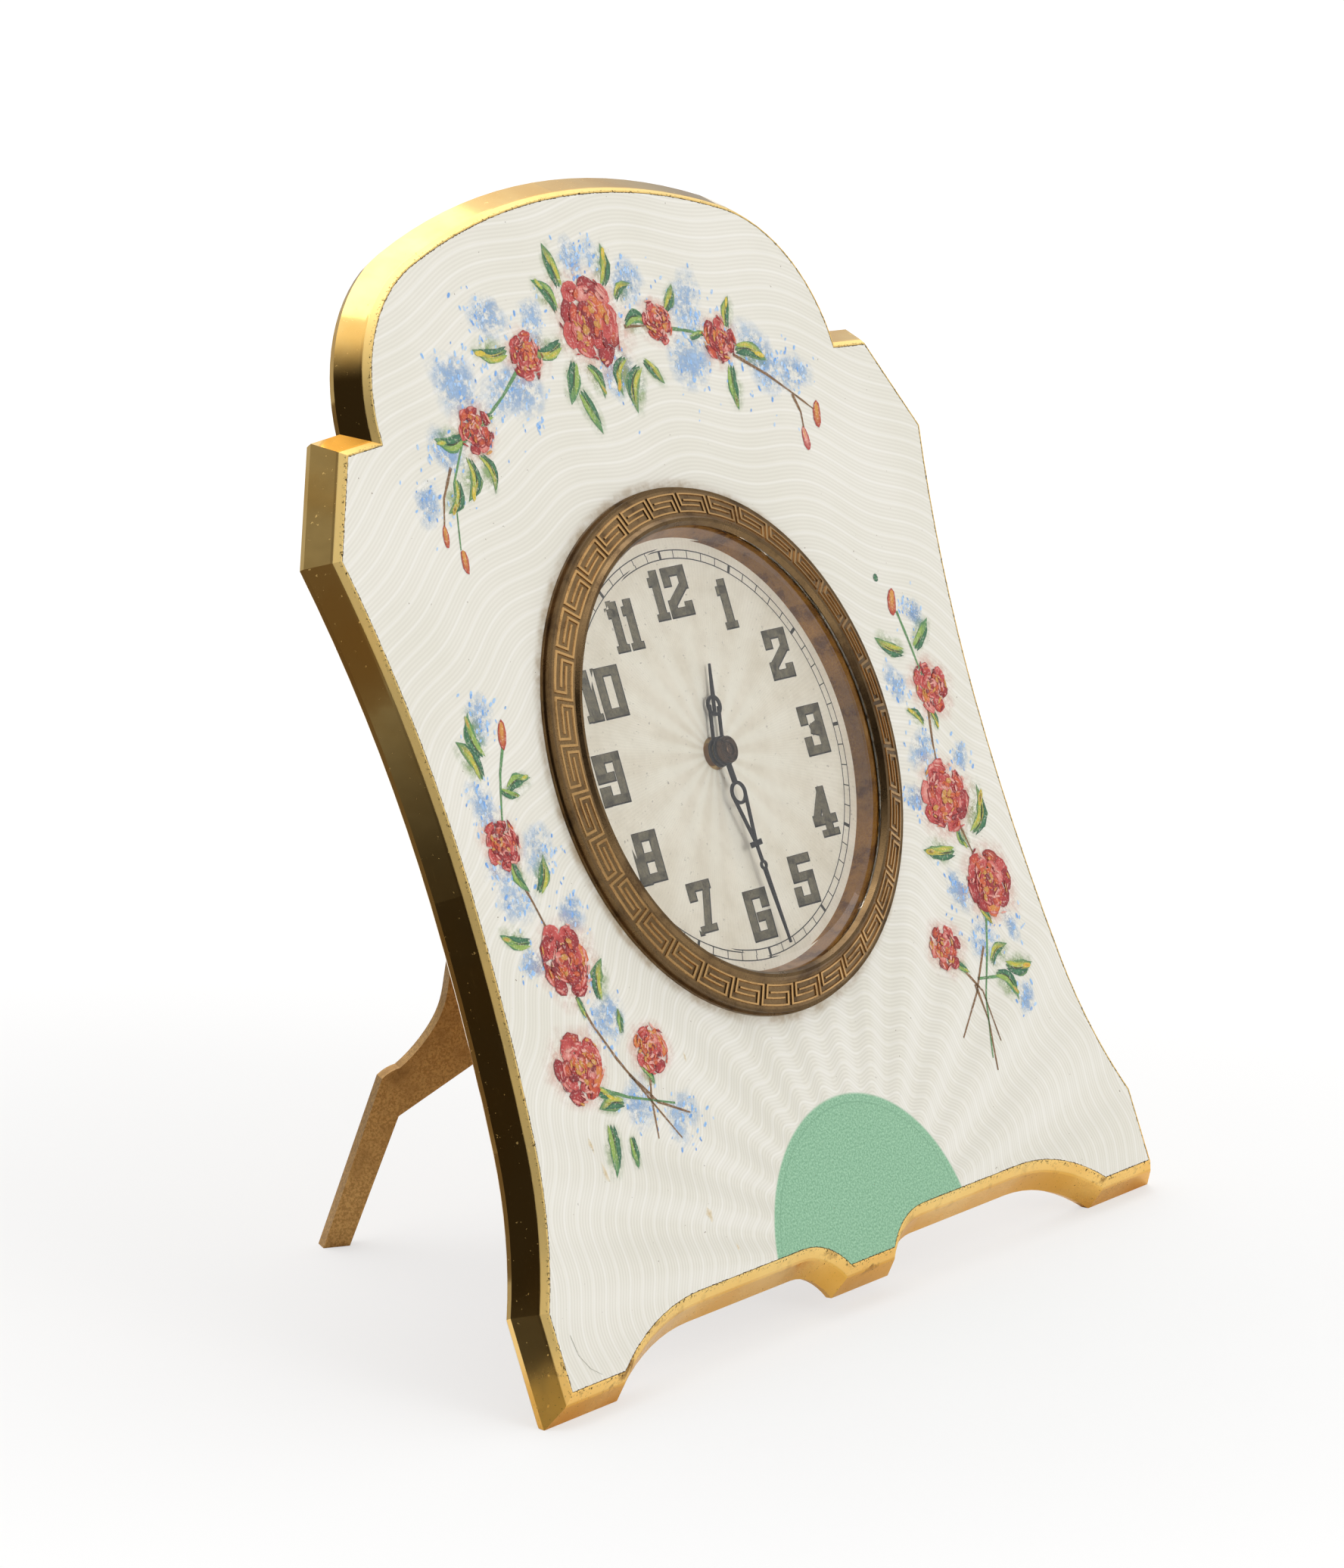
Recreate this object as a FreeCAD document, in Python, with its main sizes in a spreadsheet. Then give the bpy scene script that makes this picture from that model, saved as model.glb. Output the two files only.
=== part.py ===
import FreeCAD, Part
import Sketcher
import math
import os
import re
from FreeCAD import Placement, Rotation, Vector

# An eight-day pendulette: an enamelled front in a gilt frame, a round movement
# behind it, and a strut hinged on the movement's back cover.
#
# Every piece is drawn in the frame of the front: X to the right, Y up along the
# enamel and Z out of it towards the viewer, with the origin at the centre of the
# dial on the enamel's surface. Depths are measured back from that surface. The
# whole clock is then leaned back onto its two outer feet and the strut.

# Each row: alias, value in millimetres, degrees or a count, what it measures.
SIZES = (
    ("lean_angle", 20.8, "how far the front leans back from upright, degrees"),
    ("overrun", 2.0, "how far a cutting shape runs past what it cuts"),
    ("fit_gap", 0.05, "gap round a piece that drops into its seat"),
    ("running_gap", 0.03, "radial gap of an arbor in its hole"),
    ("shake_gap", 0.1, "end play of a moving piece"),
    # Outline of the enamel, half widths and heights from the dial's centre.
    ("crown_height", 50.5, "top of the arch"),
    ("crown_radius", 70.0, "radius of the flat top of the arch"),
    ("temple_radius", 15.0, "radius of the arch's shoulders"),
    ("notch_half_width", 32.5, "inner corner of the notch"),
    ("notch_height", 32.5, "level of the notch"),
    ("shoulder_half_width", 37.2, "upper corner of the shoulder"),
    ("shoulder_height", 32.2, "level of the shoulder's upper corner"),
    ("hip_half_width", 41.7, "lower corner of the shoulder"),
    ("hip_height", 23.8, "level of the shoulder's lower corner"),
    ("waist_half_width", 37.95, "narrowest place of the side"),
    ("waist_drop", 5.5, "narrowest place below the dial's centre"),
    ("ankle_half_width", 39.3, "where the side turns out to the foot"),
    ("foot_half_width", 43.65, "outer side of the foot"),
    ("foot_drop", 47.3, "bottom of the foot below the dial's centre"),
    ("foot_side_height", 6.8, "straight outer side of the foot"),
    ("ankle_rise", 13.5, "where the side turns out, above that straight side"),
    ("foot_inner_half_width", 36.4, "inner corner of the foot"),
    ("apron_rise", 4.0, "underside between the feet above their bottom"),
    ("apron_outer_half_width", 24.0, "outer end of the level underside"),
    ("apron_inner_half_width", 9.0, "inner end of the level underside"),
    ("drop_half_width", 3.3, "half width of the middle foot"),
    ("drop_rise", 1.25, "bottom of the middle foot above the outer feet"),
    # Section of the gilt frame.
    ("land_width", 0.12, "flat rim beside the enamel"),
    ("lip_width", 0.7, "width of the bright front bevel"),
    ("lip_depth", 0.7, "depth of the bright front bevel"),
    ("lip_drop", 0.35, "extra bevel along the underside"),
    ("flare_width", 2.0, "how far the frame swells past the enamel"),
    ("flare_drop", 0.35, "extra swell along the underside"),
    ("frame_depth", 3.65, "depth of the frame, front to back"),
    ("back_rounding", 1.2, "rounding of the frame's back edge"),
    ("ledge_width", 3.0, "ledge that carries the enamel and the back plate"),
    ("foot_flat", 0.12, "height filed off under the feet to make them stand"),
    # Front plates.
    ("enamel_thickness", 1.2, "enamelled plate"),
    ("back_plate_thickness", 0.8, "plate that closes the frame's back"),
    ("screw_head_radius", 1.1, "back plate screw, head"),
    ("screw_head_height", 0.5, "back plate screw, head"),
    ("screw_shank_radius", 0.55, "back plate screw, shank"),
    ("screw_length", 1.5, "back plate screw, shank under the head"),
    ("screw_slot_width", 0.3, "back plate screw, slot"),
    # Bezel, glass and dial.
    ("bezel_radius", 23.7, "outer edge of the bezel"),
    ("bezel_foot_height", 0.3, "thin foot of the bezel on the enamel"),
    ("bezel_wall_radius", 23.5, "outer wall of the bezel"),
    ("bezel_wall_height", 0.9, "top of the outer wall"),
    ("band_outer_radius", 23.25, "outer edge of the ornamented band"),
    ("band_inner_radius", 20.9, "inner edge of the ornamented band"),
    ("band_inner_height", 1.45, "height of the band's inner edge"),
    ("bead_radius", 20.6, "crest of the inner bead"),
    ("bead_height", 1.75, "height of the inner bead"),
    ("bezel_bore_radius", 20.3, "bore that holds glass, ring and dial"),
    ("bezel_lip_radius", 20.0, "lip in front of the glass"),
    ("bezel_lip_height", 1.3, "back of the lip in front of the glass"),
    ("collar_radius", 21.1, "collar of the bezel behind the enamel"),
    ("collar_drop", 2.2, "back end of the collar"),
    ("glass_back_height", 0.5, "back of the glass"),
    ("glass_edge_height", 1.0, "front of the glass at its bevelled edge"),
    ("glass_flat_height", 1.28, "front of the glass inside the bevel"),
    ("glass_flat_radius", 18.6, "inner edge of the glass's bevel"),
    ("dial_radius", 20.2, "dial plate"),
    ("dial_drop", 1.28, "dial's face below the enamel"),
    ("dial_thickness", 0.4, "dial plate"),
    ("dial_opening_radius", 19.3, "what the reflector ring leaves open"),
    ("dial_hole_radius", 1.5, "hole for the hands' pipes"),
    ("dial_angle", 1.5, "how far the dial sits turned clockwise, degrees"),
    ("spacer_wall", 1.0, "ring between dial and movement"),
    # Hands.
    ("minute_angle", 174.0, "minute hand at rest, clockwise from twelve, degrees"),
    ("hour_ratio", 12.0, "turns of the minute hand to one of the hour hand"),
    ("hand_thickness", 0.2, "both hands"),
    ("hour_hand_length", 8.0, "centre to tip"),
    ("minute_hand_length", 17.8, "centre to tip"),
    ("hand_boss_radius", 1.35, "round boss of the hands"),
    ("hand_wire_width", 0.28, "bars of the openwork"),
    ("hour_loop_radius", 0.95, "hour hand, loop"),
    ("hour_loop_reach", 4.2, "hour hand, centre to loop"),
    ("minute_loop_radius", 1.05, "minute hand, ring"),
    ("minute_loop_reach", 3.9, "minute hand, centre to ring"),
    ("minute_cross_reach", 8.6, "minute hand, centre to cross"),
    ("minute_cross_width", 1.5, "minute hand, cross bar"),
    ("minute_eye_reach", 10.6, "minute hand, centre to small eye"),
    ("minute_eye_radius", 0.42, "minute hand, small eye"),
    ("hour_hand_drop", 0.85, "back of the hour hand below the enamel"),
    ("minute_hand_drop", 0.3, "back of the minute hand below the enamel"),
    ("hand_nut_radius", 1.2, "round nut over the hands"),
    ("hand_nut_height", 0.4, "front of the nut above the enamel"),
    # Can and cover round the movement.
    ("can_radius", 22.0, "outside of the movement's can"),
    ("can_bore_radius", 21.2, "inside of the can"),
    ("can_ledge_radius", 20.3, "ledge that carries the movement"),
    ("can_ledge_depth", 0.8, "thickness of that ledge"),
    ("cover_drop", 14.0, "back face of the cover"),
    ("cover_thickness", 0.8, "cover's disc"),
    ("cover_rim_depth", 1.4, "rim of the cover inside the can"),
    ("cover_rim_wall", 0.7, "rim of the cover inside the can"),
    ("cover_edge_rounding", 0.5, "rounded edge of the cover"),
    # Plates of the movement.
    ("main_plate_drop", 3.1, "front of the main plate"),
    ("main_plate_thickness", 1.6, "main plate"),
    ("train_gap", 5.0, "space between the two plates"),
    ("top_plate_thickness", 1.4, "top plate"),
    ("top_plate_radius", 20.2, "top plate"),
    ("pillar_radius", 1.2, "pillars between the plates"),
    ("pillar_reach", 18.4, "centre to pillar"),
    ("pillar_screw_radius", 1.1, "head of a pillar screw"),
    ("pillar_screw_height", 0.6, "head of a pillar screw"),
    # Places of the arbors, seen from the front.
    ("barrel_reach", 9.9, "centre to barrel"),
    ("barrel_bearing", 200.0, "direction of the barrel, degrees"),
    ("third_bearing", 40.0, "direction of the third wheel, degrees"),
    ("fourth_bearing", -30.0, "from third to fourth wheel, degrees"),
    ("escape_bearing", -80.0, "from fourth to escape wheel, degrees"),
    ("pallet_reach", 4.9, "escape wheel to pallet lever"),
    ("pallet_bearing", -110.0, "from escape wheel to pallet lever, degrees"),
    ("balance_across", 3.5, "balance, to the right"),
    ("balance_down", 12.5, "balance, downwards"),
    ("minute_work_bearing", 110.0, "direction of the minute work, degrees"),
    # Wheels: teeth, pitch radii and levels.
    ("barrel_teeth", 72, "count"),
    ("centre_pinion_leaves", 9, "count"),
    ("centre_teeth", 48, "count"),
    ("third_pinion_leaves", 6, "count"),
    ("third_teeth", 45, "count"),
    ("fourth_pinion_leaves", 6, "count"),
    ("fourth_teeth", 60, "count"),
    ("escape_pinion_leaves", 6, "count"),
    ("escape_teeth", 15, "count"),
    ("cannon_leaves", 10, "count"),
    ("minute_work_teeth", 30, "count"),
    ("minute_work_leaves", 8, "count"),
    ("hour_teeth", 32, "count"),
    ("ratchet_teeth", 24, "count"),
    ("centre_wheel_radius", 6.4, "pitch radius"),
    ("third_wheel_radius", 5.1, "pitch radius"),
    ("fourth_wheel_radius", 4.6, "pitch radius"),
    ("escape_wheel_radius", 3.2, "over the points"),
    ("cannon_radius", 1.6, "pitch radius of the cannon pinion"),
    ("wheel_thickness", 0.45, "train wheels"),
    ("rim_width", 0.9, "rim of a train wheel"),
    ("spoke_width", 0.7, "spoke of a train wheel"),
    ("spokes", 4, "count"),
    ("pinion_length", 1.0, "leaves of a train pinion"),
    ("arbor_radius", 0.45, "train arbors"),
    ("pivot_radius", 0.22, "train pivots"),
    ("centre_arbor_radius", 0.6, "centre arbor"),
    ("centre_sleeve_radius", 0.9, "hollow pinion of the centre wheel"),
    ("barrel_height", 3.2, "barrel, front to back"),
    ("barrel_wall", 0.5, "barrel's wall"),
    ("barrel_arbor_radius", 1.1, "barrel arbor"),
    ("barrel_hub_radius", 2.2, "hub of the barrel arbor inside the spring"),
    ("barrel_tooth_depth", 1.2, "toothed base of the barrel"),
    ("spring_gap", 0.35, "free space round the coiled mainspring"),
    ("centre_wheel_drop", 8.75, "front of the centre wheel"),
    ("third_wheel_drop", 6.9, "front of the third wheel"),
    ("fourth_wheel_drop", 5.35, "front of the fourth wheel"),
    ("escape_wheel_drop", 7.9, "front of the escape wheel"),
    ("ratchet_radius", 4.2, "over the teeth"),
    ("ratchet_thickness", 0.8, "ratchet wheel"),
    ("click_length", 3.6, "click, pivot to tip"),
    ("click_bearing", 130.0, "from the ratchet's centre to the click's screw"),
    ("click_width", 1.3, "click"),
    # Balance.
    ("balance_radius", 5.2, "over the rim"),
    ("balance_rim_width", 0.8, "rim of the balance"),
    ("balance_thickness", 0.8, "rim of the balance"),
    ("balance_drop", 8.7, "front of the balance's rim"),
    ("balance_window_radius", 6.2, "opening in the top plate"),
    ("roller_radius", 1.0, "roller on the balance staff"),
    ("hairspring_radius", 2.6, "outer turn of the hairspring"),
    ("hairspring_turns", 6, "count"),
    ("hairspring_wire", 0.12, "thickness of the hairspring"),
    ("hairspring_height", 0.25, "height of the hairspring"),
    ("hairspring_drop", 10.3, "front of the hairspring"),
    ("cock_width", 3.0, "balance cock"),
    ("cock_thickness", 1.0, "balance cock"),
    ("cock_foot_reach", 8.2, "balance to the cock's screw"),
    ("cock_bearing", 180.0, "direction of the cock's foot, degrees"),
    # Winding and setting, on the back.
    ("key_pipe_radius", 1.5, "pipe of the winding key"),
    ("key_wing_reach", 4.6, "half width of the key's wings"),
    ("key_wing_thickness", 1.2, "wings of the key"),
    ("key_wing_height", 3.0, "wings of the key, front to back"),
    ("key_clearance", 0.6, "key's pipe behind the cover"),
    ("key_pipe_length", 2.2, "key's pipe in front of the wings"),
    ("knob_clearance", 0.3, "knob behind the cover"),
    ("knob_radius", 2.8, "knob that sets the hands"),
    ("knob_length", 2.2, "knob that sets the hands"),
    ("knob_grooves", 20, "count"),
    ("knob_groove_radius", 0.22, "grooves of the knob"),
    # Strut and hinge.
    ("hinge_angle", 28.0, "hinge line turned from upright, degrees"),
    ("opening_angle", 39.0, "strut at rest, opened from the cover, degrees"),
    ("hinge_across", 11.5, "hinge line to the right at the dial's level"),
    ("strut_thickness", 1.6, "strut plate"),
    ("hinge_barrel_radius", 1.4, "knuckles"),
    ("hinge_pin_radius", 0.6, "pin"),
    ("hinge_length", 12.0, "all three knuckles"),
    ("hinge_rise", 1.0, "upper end of the hinge"),
    ("knuckle_share", 0.5, "share of the hinge that is the strut's knuckle"),
    ("bracket_thickness", 0.6, "hinge plate on the cover"),
    ("bracket_reach", 4.2, "hinge plate beside the knuckles"),
    ("strut_root_reach", 1.9, "edge of the plate beside the knuckles"),
    ("strut_knee_reach", 38.0, "hinge line to the knee"),
    ("strut_foot_reach", 51.3, "hinge line to the foot"),
)

doc = FreeCAD.newDocument("pendulette")
sheet = doc.addObject("Spreadsheet::Sheet", "Sizes")
for row, (alias, value, meaning) in enumerate(SIZES, start=1):
    sheet.set(f"A{row}", alias)
    sheet.set(f"B{row}", str(value))
    sheet.set(f"C{row}", meaning)
    sheet.setAlias(f"B{row}", alias)
doc.recompute()


class Dimensions:
    """The sheet's cells by their aliases."""

    def __getattr__(self, alias):
        return float(getattr(sheet, alias))


dim = Dimensions()
CLEAR = Placement()


def place(across, up, drop):
    """A point of the clock: right, up and back from the enamel's surface."""
    return Vector(across, up, -drop)


def bound(text):
    """An expression with every alias pointed at the sheet."""
    return re.sub(r"[a-z]+(_[a-z]+)+", r"Sizes.\g<0>", text)


def sketch_on(body, plane_role, name):
    plane = [item for item in body.Origin.OriginFeatures if item.Role == plane_role][0]
    sketch = body.newObject("Sketcher::SketchObject", name)
    sketch.AttachmentSupport = [(plane, "")]
    sketch.MapMode = "FlatFace"
    return sketch


def pin_point(sketch, edge, end, across, up):
    """Hold one point of a sketch at two expressions."""
    for axis, text, line in (("DistanceX", across, -2), ("DistanceY", up, -1)):
        if text == "0":
            sketch.addConstraint(Sketcher.Constraint("PointOnObject", edge, end, line))
            continue
        value = float(sketch.evalExpression(bound(text)))
        index = sketch.addConstraint(Sketcher.Constraint(axis, -1, 1, edge, end, value))
        sketch.setExpression(f"Constraints[{index}]", bound(text))


def draw_polygon(sketch, corners):
    """A closed outline; each corner is a pair of expressions."""
    points = []
    for across, up in corners:
        x = float(sketch.evalExpression(bound(across)))
        y = float(sketch.evalExpression(bound(up)))
        points.append(Vector(x, y, 0))
    first = sketch.GeometryCount
    count = len(points)
    for index in range(count):
        line = Part.LineSegment(points[index], points[(index + 1) % count])
        sketch.addGeometry(line, False)
    for index in range(count):
        following = first + (index + 1) % count
        sketch.addConstraint(Sketcher.Constraint("Coincident", first + index, 2, following, 1))
    for index, (across, up) in enumerate(corners):
        pin_point(sketch, first + index, 1, across, up)


def draw_circle(sketch, across, up, radius):
    x = float(sketch.evalExpression(bound(across)))
    y = float(sketch.evalExpression(bound(up)))
    size = float(sketch.evalExpression(bound(radius)))
    circle = sketch.addGeometry(Part.Circle(Vector(x, y, 0), Vector(0, 0, 1), size), False)
    index = sketch.addConstraint(Sketcher.Constraint("Radius", circle, size))
    sketch.setExpression(f"Constraints[{index}]", bound(radius))
    if across == "0" and up == "0":
        sketch.addConstraint(Sketcher.Constraint("Coincident", circle, 3, -1, 1))
        return
    pin_point(sketch, circle, 3, across, up)


def turned(name, corners):
    """A body turned about the Z axis; each corner is a radius and a height."""
    body = doc.addObject("PartDesign::Body", name)
    sketch = sketch_on(body, "XZ_Plane", name + "_profile")
    draw_polygon(sketch, corners)
    doc.recompute()
    turning = body.newObject("PartDesign::Revolution", name + "_turning")
    turning.Profile = sketch
    turning.ReferenceAxis = (sketch, ["V_Axis"])
    turning.Angle = 360
    sketch.Visibility = False
    doc.recompute()
    return body


def pocket(body, name, circles, depth):
    """Round holes sunk from the body's XY plane towards -Z, right through."""
    sketch = sketch_on(body, "XY_Plane", name)
    for across, up, radius in circles:
        draw_circle(sketch, across, up, radius)
    doc.recompute()
    before = body.Shape.Volume
    cut = body.newObject("PartDesign::Pocket", name + "_cut")
    cut.Profile = sketch
    cut.Midplane = True
    cut.setExpression("Length", bound(depth))
    doc.recompute()
    assert body.Shape.Volume < before, name + " cuts nothing"
    return cut


def feature(name, shape):
    """A sub-part whose shape comes from the functions below."""
    item = doc.addObject("Part::Feature", name)
    item.Shape = shape.removeSplitter()
    return item


def cylinder(radius, front_drop, back_drop, centre=CLEAR.Base):
    """A round bar between two depths behind the enamel's surface."""
    base = Vector(centre.x, centre.y, -back_drop)
    return Part.makeCylinder(radius, back_drop - front_drop, base)


def bar(start, end, width, front_drop, back_drop):
    """A straight flat bar between two points of the front."""
    along = (end - start).normalize()
    side = Vector(-along.y, along.x, 0) * (width / 2)
    corners = [start + side, end + side, end - side, start - side, start + side]
    lift = Vector(0, 0, -back_drop)
    face = Part.Face(Part.makePolygon([corner + lift for corner in corners]))
    return face.extrude(Vector(0, 0, back_drop - front_drop))


def heading(bearing, reach, start=CLEAR.Base):
    """A point at a distance and a direction counted anticlockwise from the right."""
    angle = math.radians(bearing)
    return start + Vector(reach * math.cos(angle), reach * math.sin(angle), 0)


# The enamel's outline, half of it, from the middle of the arch to the middle foot.


def tangent_middle(start, direction, end):
    """Middle of the arc that leaves start along direction and ends at end."""
    chord = end - start
    along = Vector(chord).normalize()
    side = direction - along * direction.dot(along)
    if side.Length < 1e-9:
        return start + chord * 0.5
    turn = math.acos(max(-1.0, min(1.0, Vector(direction).normalize().dot(along))))
    return start + chord * 0.5 + side.normalize() * (chord.Length / 2 * math.tan(turn / 2))


def mirrored_direction(start, direction, end):
    """Direction in which that arc arrives at its end."""
    along = (end - start).normalize()
    return along * (2 * direction.dot(along)) - direction


def apron_level():
    return dim.apron_rise - dim.foot_drop


def half_outline():
    """Runs of the right half, each as start, middle, end, first and last direction."""
    right, down, left = Vector(1, 0, 0), Vector(0, -1, 0), Vector(-1, 0, 0)
    crown = Vector(0, dim.crown_height, 0)
    crown_centre = Vector(0, dim.crown_height - dim.crown_radius, 0)
    temple_across = dim.notch_half_width - dim.temple_radius
    centres_apart = dim.crown_radius - dim.temple_radius
    temple_rise = math.sqrt(centres_apart ** 2 - temple_across ** 2)
    temple_centre = crown_centre + Vector(temple_across, temple_rise, 0)
    outward = (temple_centre - crown_centre).normalize()
    temple = crown_centre + outward * dim.crown_radius
    notch_rise = dim.notch_height - temple_centre.y
    notch_across = math.sqrt(dim.temple_radius ** 2 - notch_rise ** 2)
    notch = Vector(temple_centre.x + notch_across, dim.notch_height, 0)
    shoulder = Vector(dim.shoulder_half_width, dim.shoulder_height, 0)
    hip = Vector(dim.hip_half_width, dim.hip_height, 0)
    waist = Vector(dim.waist_half_width, -dim.waist_drop, 0)
    foot_top = Vector(dim.foot_half_width, dim.foot_side_height - dim.foot_drop, 0)
    ankle = Vector(dim.ankle_half_width, foot_top.y + dim.ankle_rise, 0)
    foot_outer = Vector(dim.foot_half_width, -dim.foot_drop, 0)
    foot_inner = Vector(dim.foot_inner_half_width, -dim.foot_drop, 0)
    apron_outer = Vector(dim.apron_outer_half_width, apron_level(), 0)
    apron_inner = Vector(dim.apron_inner_half_width, apron_level(), 0)
    drop_corner = Vector(dim.drop_half_width, dim.drop_rise - dim.foot_drop, 0)
    drop_middle = Vector(0, drop_corner.y, 0)
    runs = []

    def arc_from(start, direction, end):
        middle = tangent_middle(start, direction, end)
        runs.append((start, middle, end, direction, mirrored_direction(start, direction, end)))

    def arc_into(start, end, direction):
        back = Vector(direction) * -1
        middle = tangent_middle(end, back, start)
        runs.append((start, middle, end, mirrored_direction(end, back, start) * -1, direction))

    def line(start, end):
        direction = (end - start).normalize()
        runs.append((start, None, end, direction, direction))

    arc_from(crown, right, temple)
    arc_from(temple, Vector(outward.y, -outward.x, 0), notch)
    line(notch, shoulder)
    line(shoulder, hip)
    arc_into(hip, waist, down)
    arc_from(waist, down, ankle)
    arc_from(ankle, runs[-1][4], foot_top)
    line(foot_top, foot_outer)
    line(foot_outer, foot_inner)
    arc_into(foot_inner, apron_outer, left)
    line(apron_outer, apron_inner)
    arc_from(apron_inner, left, drop_corner)
    line(drop_corner, drop_middle)
    return runs


def outline(grow, drop, lower=0.0):
    """The whole outline, grown outwards, at a depth; its underside may hang lower."""
    runs = half_outline()
    count = len(runs)

    def outward(direction):
        return Vector(-direction.y, direction.x, 0)

    def moved(point, before, after):
        push = outward(before) + outward(after)
        share = 1 + outward(before).dot(outward(after))
        shifted = point + push * (grow / share)
        if point.y <= apron_level():
            shifted.y -= lower
        return shifted

    edges = []
    for index, (start, middle, end, first, last) in enumerate(runs):
        before = runs[index - 1][4] if index else first
        after = runs[index + 1][3] if index < count - 1 else last
        points = [moved(start, before, first)]
        if middle is not None:
            points.append(moved(middle, (end - start).normalize(), (end - start).normalize()))
        points.append(moved(end, last, after))
        edges.append([point + Vector(0, 0, -drop) for point in points])
    mirror = [[Vector(-point.x, point.y, point.z) for point in reversed(points)]
              for points in reversed(edges)]
    return Part.Wire([Part.makeLine(*points) if len(points) == 2 else Part.Arc(*points).toShape()
                      for points in edges + mirror])


def slab(grow, front_drop, back_drop):
    """A plate of the enamel's outline between two depths."""
    face = Part.Face(outline(grow, back_drop))
    return face.extrude(Vector(0, 0, back_drop - front_drop))


def frame_body():
    """The gilt frame before it is opened: bevel, swelling side, rounded back edge."""
    side_end = dim.frame_depth - dim.back_rounding
    sections = [outline(dim.land_width, 0),
                outline(dim.lip_width, dim.lip_depth, dim.lip_drop),
                outline(dim.flare_width, side_end, dim.flare_drop)]
    steps = 3
    for step in range(1, steps + 1):
        angle = math.pi / 2 * step / steps
        grow = dim.flare_width - dim.back_rounding * (1 - math.cos(angle))
        drop = side_end + dim.back_rounding * math.sin(angle)
        sections.append(outline(grow, drop, dim.flare_drop))
    return Part.makeLoft(sections, True, True)


def standing_level():
    """How far the lowest edge of the feet lies below the dial's centre, plumb."""
    tilt = Rotation(Vector(1, 0, 0), 90 - dim.lean_angle)
    lowest = frame_body().transformed(Placement(Vector(), tilt).toMatrix())
    return -lowest.optimalBoundingBox().ZMin - dim.foot_flat


def below_table():
    """Everything under the table's surface, seen in the front's own frame."""
    up = Vector(0, math.cos(math.radians(dim.lean_angle)), math.sin(math.radians(dim.lean_angle)))
    side = dim.crown_height * 4
    block = Part.makeBox(side, side, side, Vector(-side / 2, -side / 2, -side))
    tilt = Rotation(Vector(0, 0, 1), up)
    return block.transformed(Placement(up * -STANDING, tilt).toMatrix())


STANDING = standing_level()


def screw_places():
    """The four screws of the back plate, over the frame's ledge."""
    upper = Vector(dim.hip_half_width - dim.ledge_width * 0.8,
                   dim.hip_height - dim.ledge_width * 0.8, 0)
    lower = Vector(dim.foot_half_width - dim.ledge_width * 0.6,
                   -dim.foot_drop + dim.ledge_width, 0)
    return [Vector(side * spot.x, spot.y, 0) for spot in (upper, lower) for side in (-1, 1)]


def back_plate_front():
    return dim.frame_depth - dim.back_plate_thickness


def make_case_frame():
    shape = frame_body().cut(slab(0, -dim.overrun, dim.enamel_thickness))
    shape = shape.cut(slab(-dim.ledge_width, dim.enamel_thickness / 2, dim.frame_depth + dim.overrun))
    shape = shape.cut(slab(0, back_plate_front(), dim.frame_depth + dim.overrun))
    shape = shape.cut(below_table())
    for spot in screw_places():
        hole = cylinder(dim.screw_shank_radius + dim.fit_gap,
                        dim.frame_depth - dim.screw_length - dim.fit_gap, dim.frame_depth, spot)
        shape = shape.cut(hole)
    return feature("case_frame", shape)


def make_enamel_panel():
    shape = slab(-dim.fit_gap, 0, dim.enamel_thickness)
    hole = cylinder(dim.collar_radius + dim.fit_gap, -dim.overrun, dim.enamel_thickness + dim.overrun)
    return feature("enamel_panel", shape.cut(hole))


def make_back_plate():
    shape = slab(-dim.fit_gap, back_plate_front(), dim.frame_depth)
    shape = shape.cut(cylinder(dim.can_radius + dim.fit_gap, 0, dim.frame_depth + dim.overrun))
    for spot in screw_places():
        shape = shape.cut(cylinder(dim.screw_shank_radius + dim.fit_gap, 0,
                                   dim.frame_depth + dim.overrun, spot))
    return feature("back_plate", shape)


def make_back_screws():
    screws = []
    head_back = dim.frame_depth + dim.screw_head_height
    for spot in screw_places():
        head = cylinder(dim.screw_head_radius, dim.frame_depth, head_back, spot)
        shank_front = dim.frame_depth - dim.screw_length
        screw = head.fuse(cylinder(dim.screw_shank_radius, shank_front, dim.frame_depth, spot))
        reach = Vector(dim.screw_head_radius + dim.fit_gap, 0, 0)
        slot = bar(spot - reach, spot + reach, dim.screw_slot_width,
                   head_back - dim.screw_head_height / 2, head_back + dim.overrun)
        screws.append(screw.cut(slot))
    return feature("back_screws", Part.makeCompound(screws))


def make_bezel():
    return turned("bezel", [
        ("bezel_bore_radius", "-collar_drop"),
        ("collar_radius", "-collar_drop"),
        ("collar_radius", "0"),
        ("bezel_radius", "0"),
        ("bezel_radius", "bezel_foot_height"),
        ("bezel_wall_radius", "bezel_foot_height"),
        ("bezel_wall_radius", "bezel_wall_height"),
        ("band_outer_radius", "bezel_wall_height"),
        ("band_inner_radius", "band_inner_height"),
        ("bead_radius", "bead_height"),
        ("bezel_bore_radius", "bead_height"),
        ("bezel_lip_radius", "bezel_lip_height"),
        ("bezel_bore_radius", "bezel_lip_height")])


def make_crystal():
    return turned("crystal", [
        ("0", "glass_back_height"),
        ("bezel_bore_radius - fit_gap", "glass_back_height"),
        ("bezel_bore_radius - fit_gap", "glass_edge_height"),
        ("glass_flat_radius", "glass_flat_height"),
        ("0", "glass_flat_height")])


def make_reflector_ring():
    return turned("reflector_ring", [
        ("dial_opening_radius", "-dial_drop"),
        ("bezel_bore_radius - fit_gap", "-dial_drop"),
        ("bezel_bore_radius - fit_gap", "glass_back_height"),
        ("dial_radius - fit_gap", "glass_back_height")])


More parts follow.
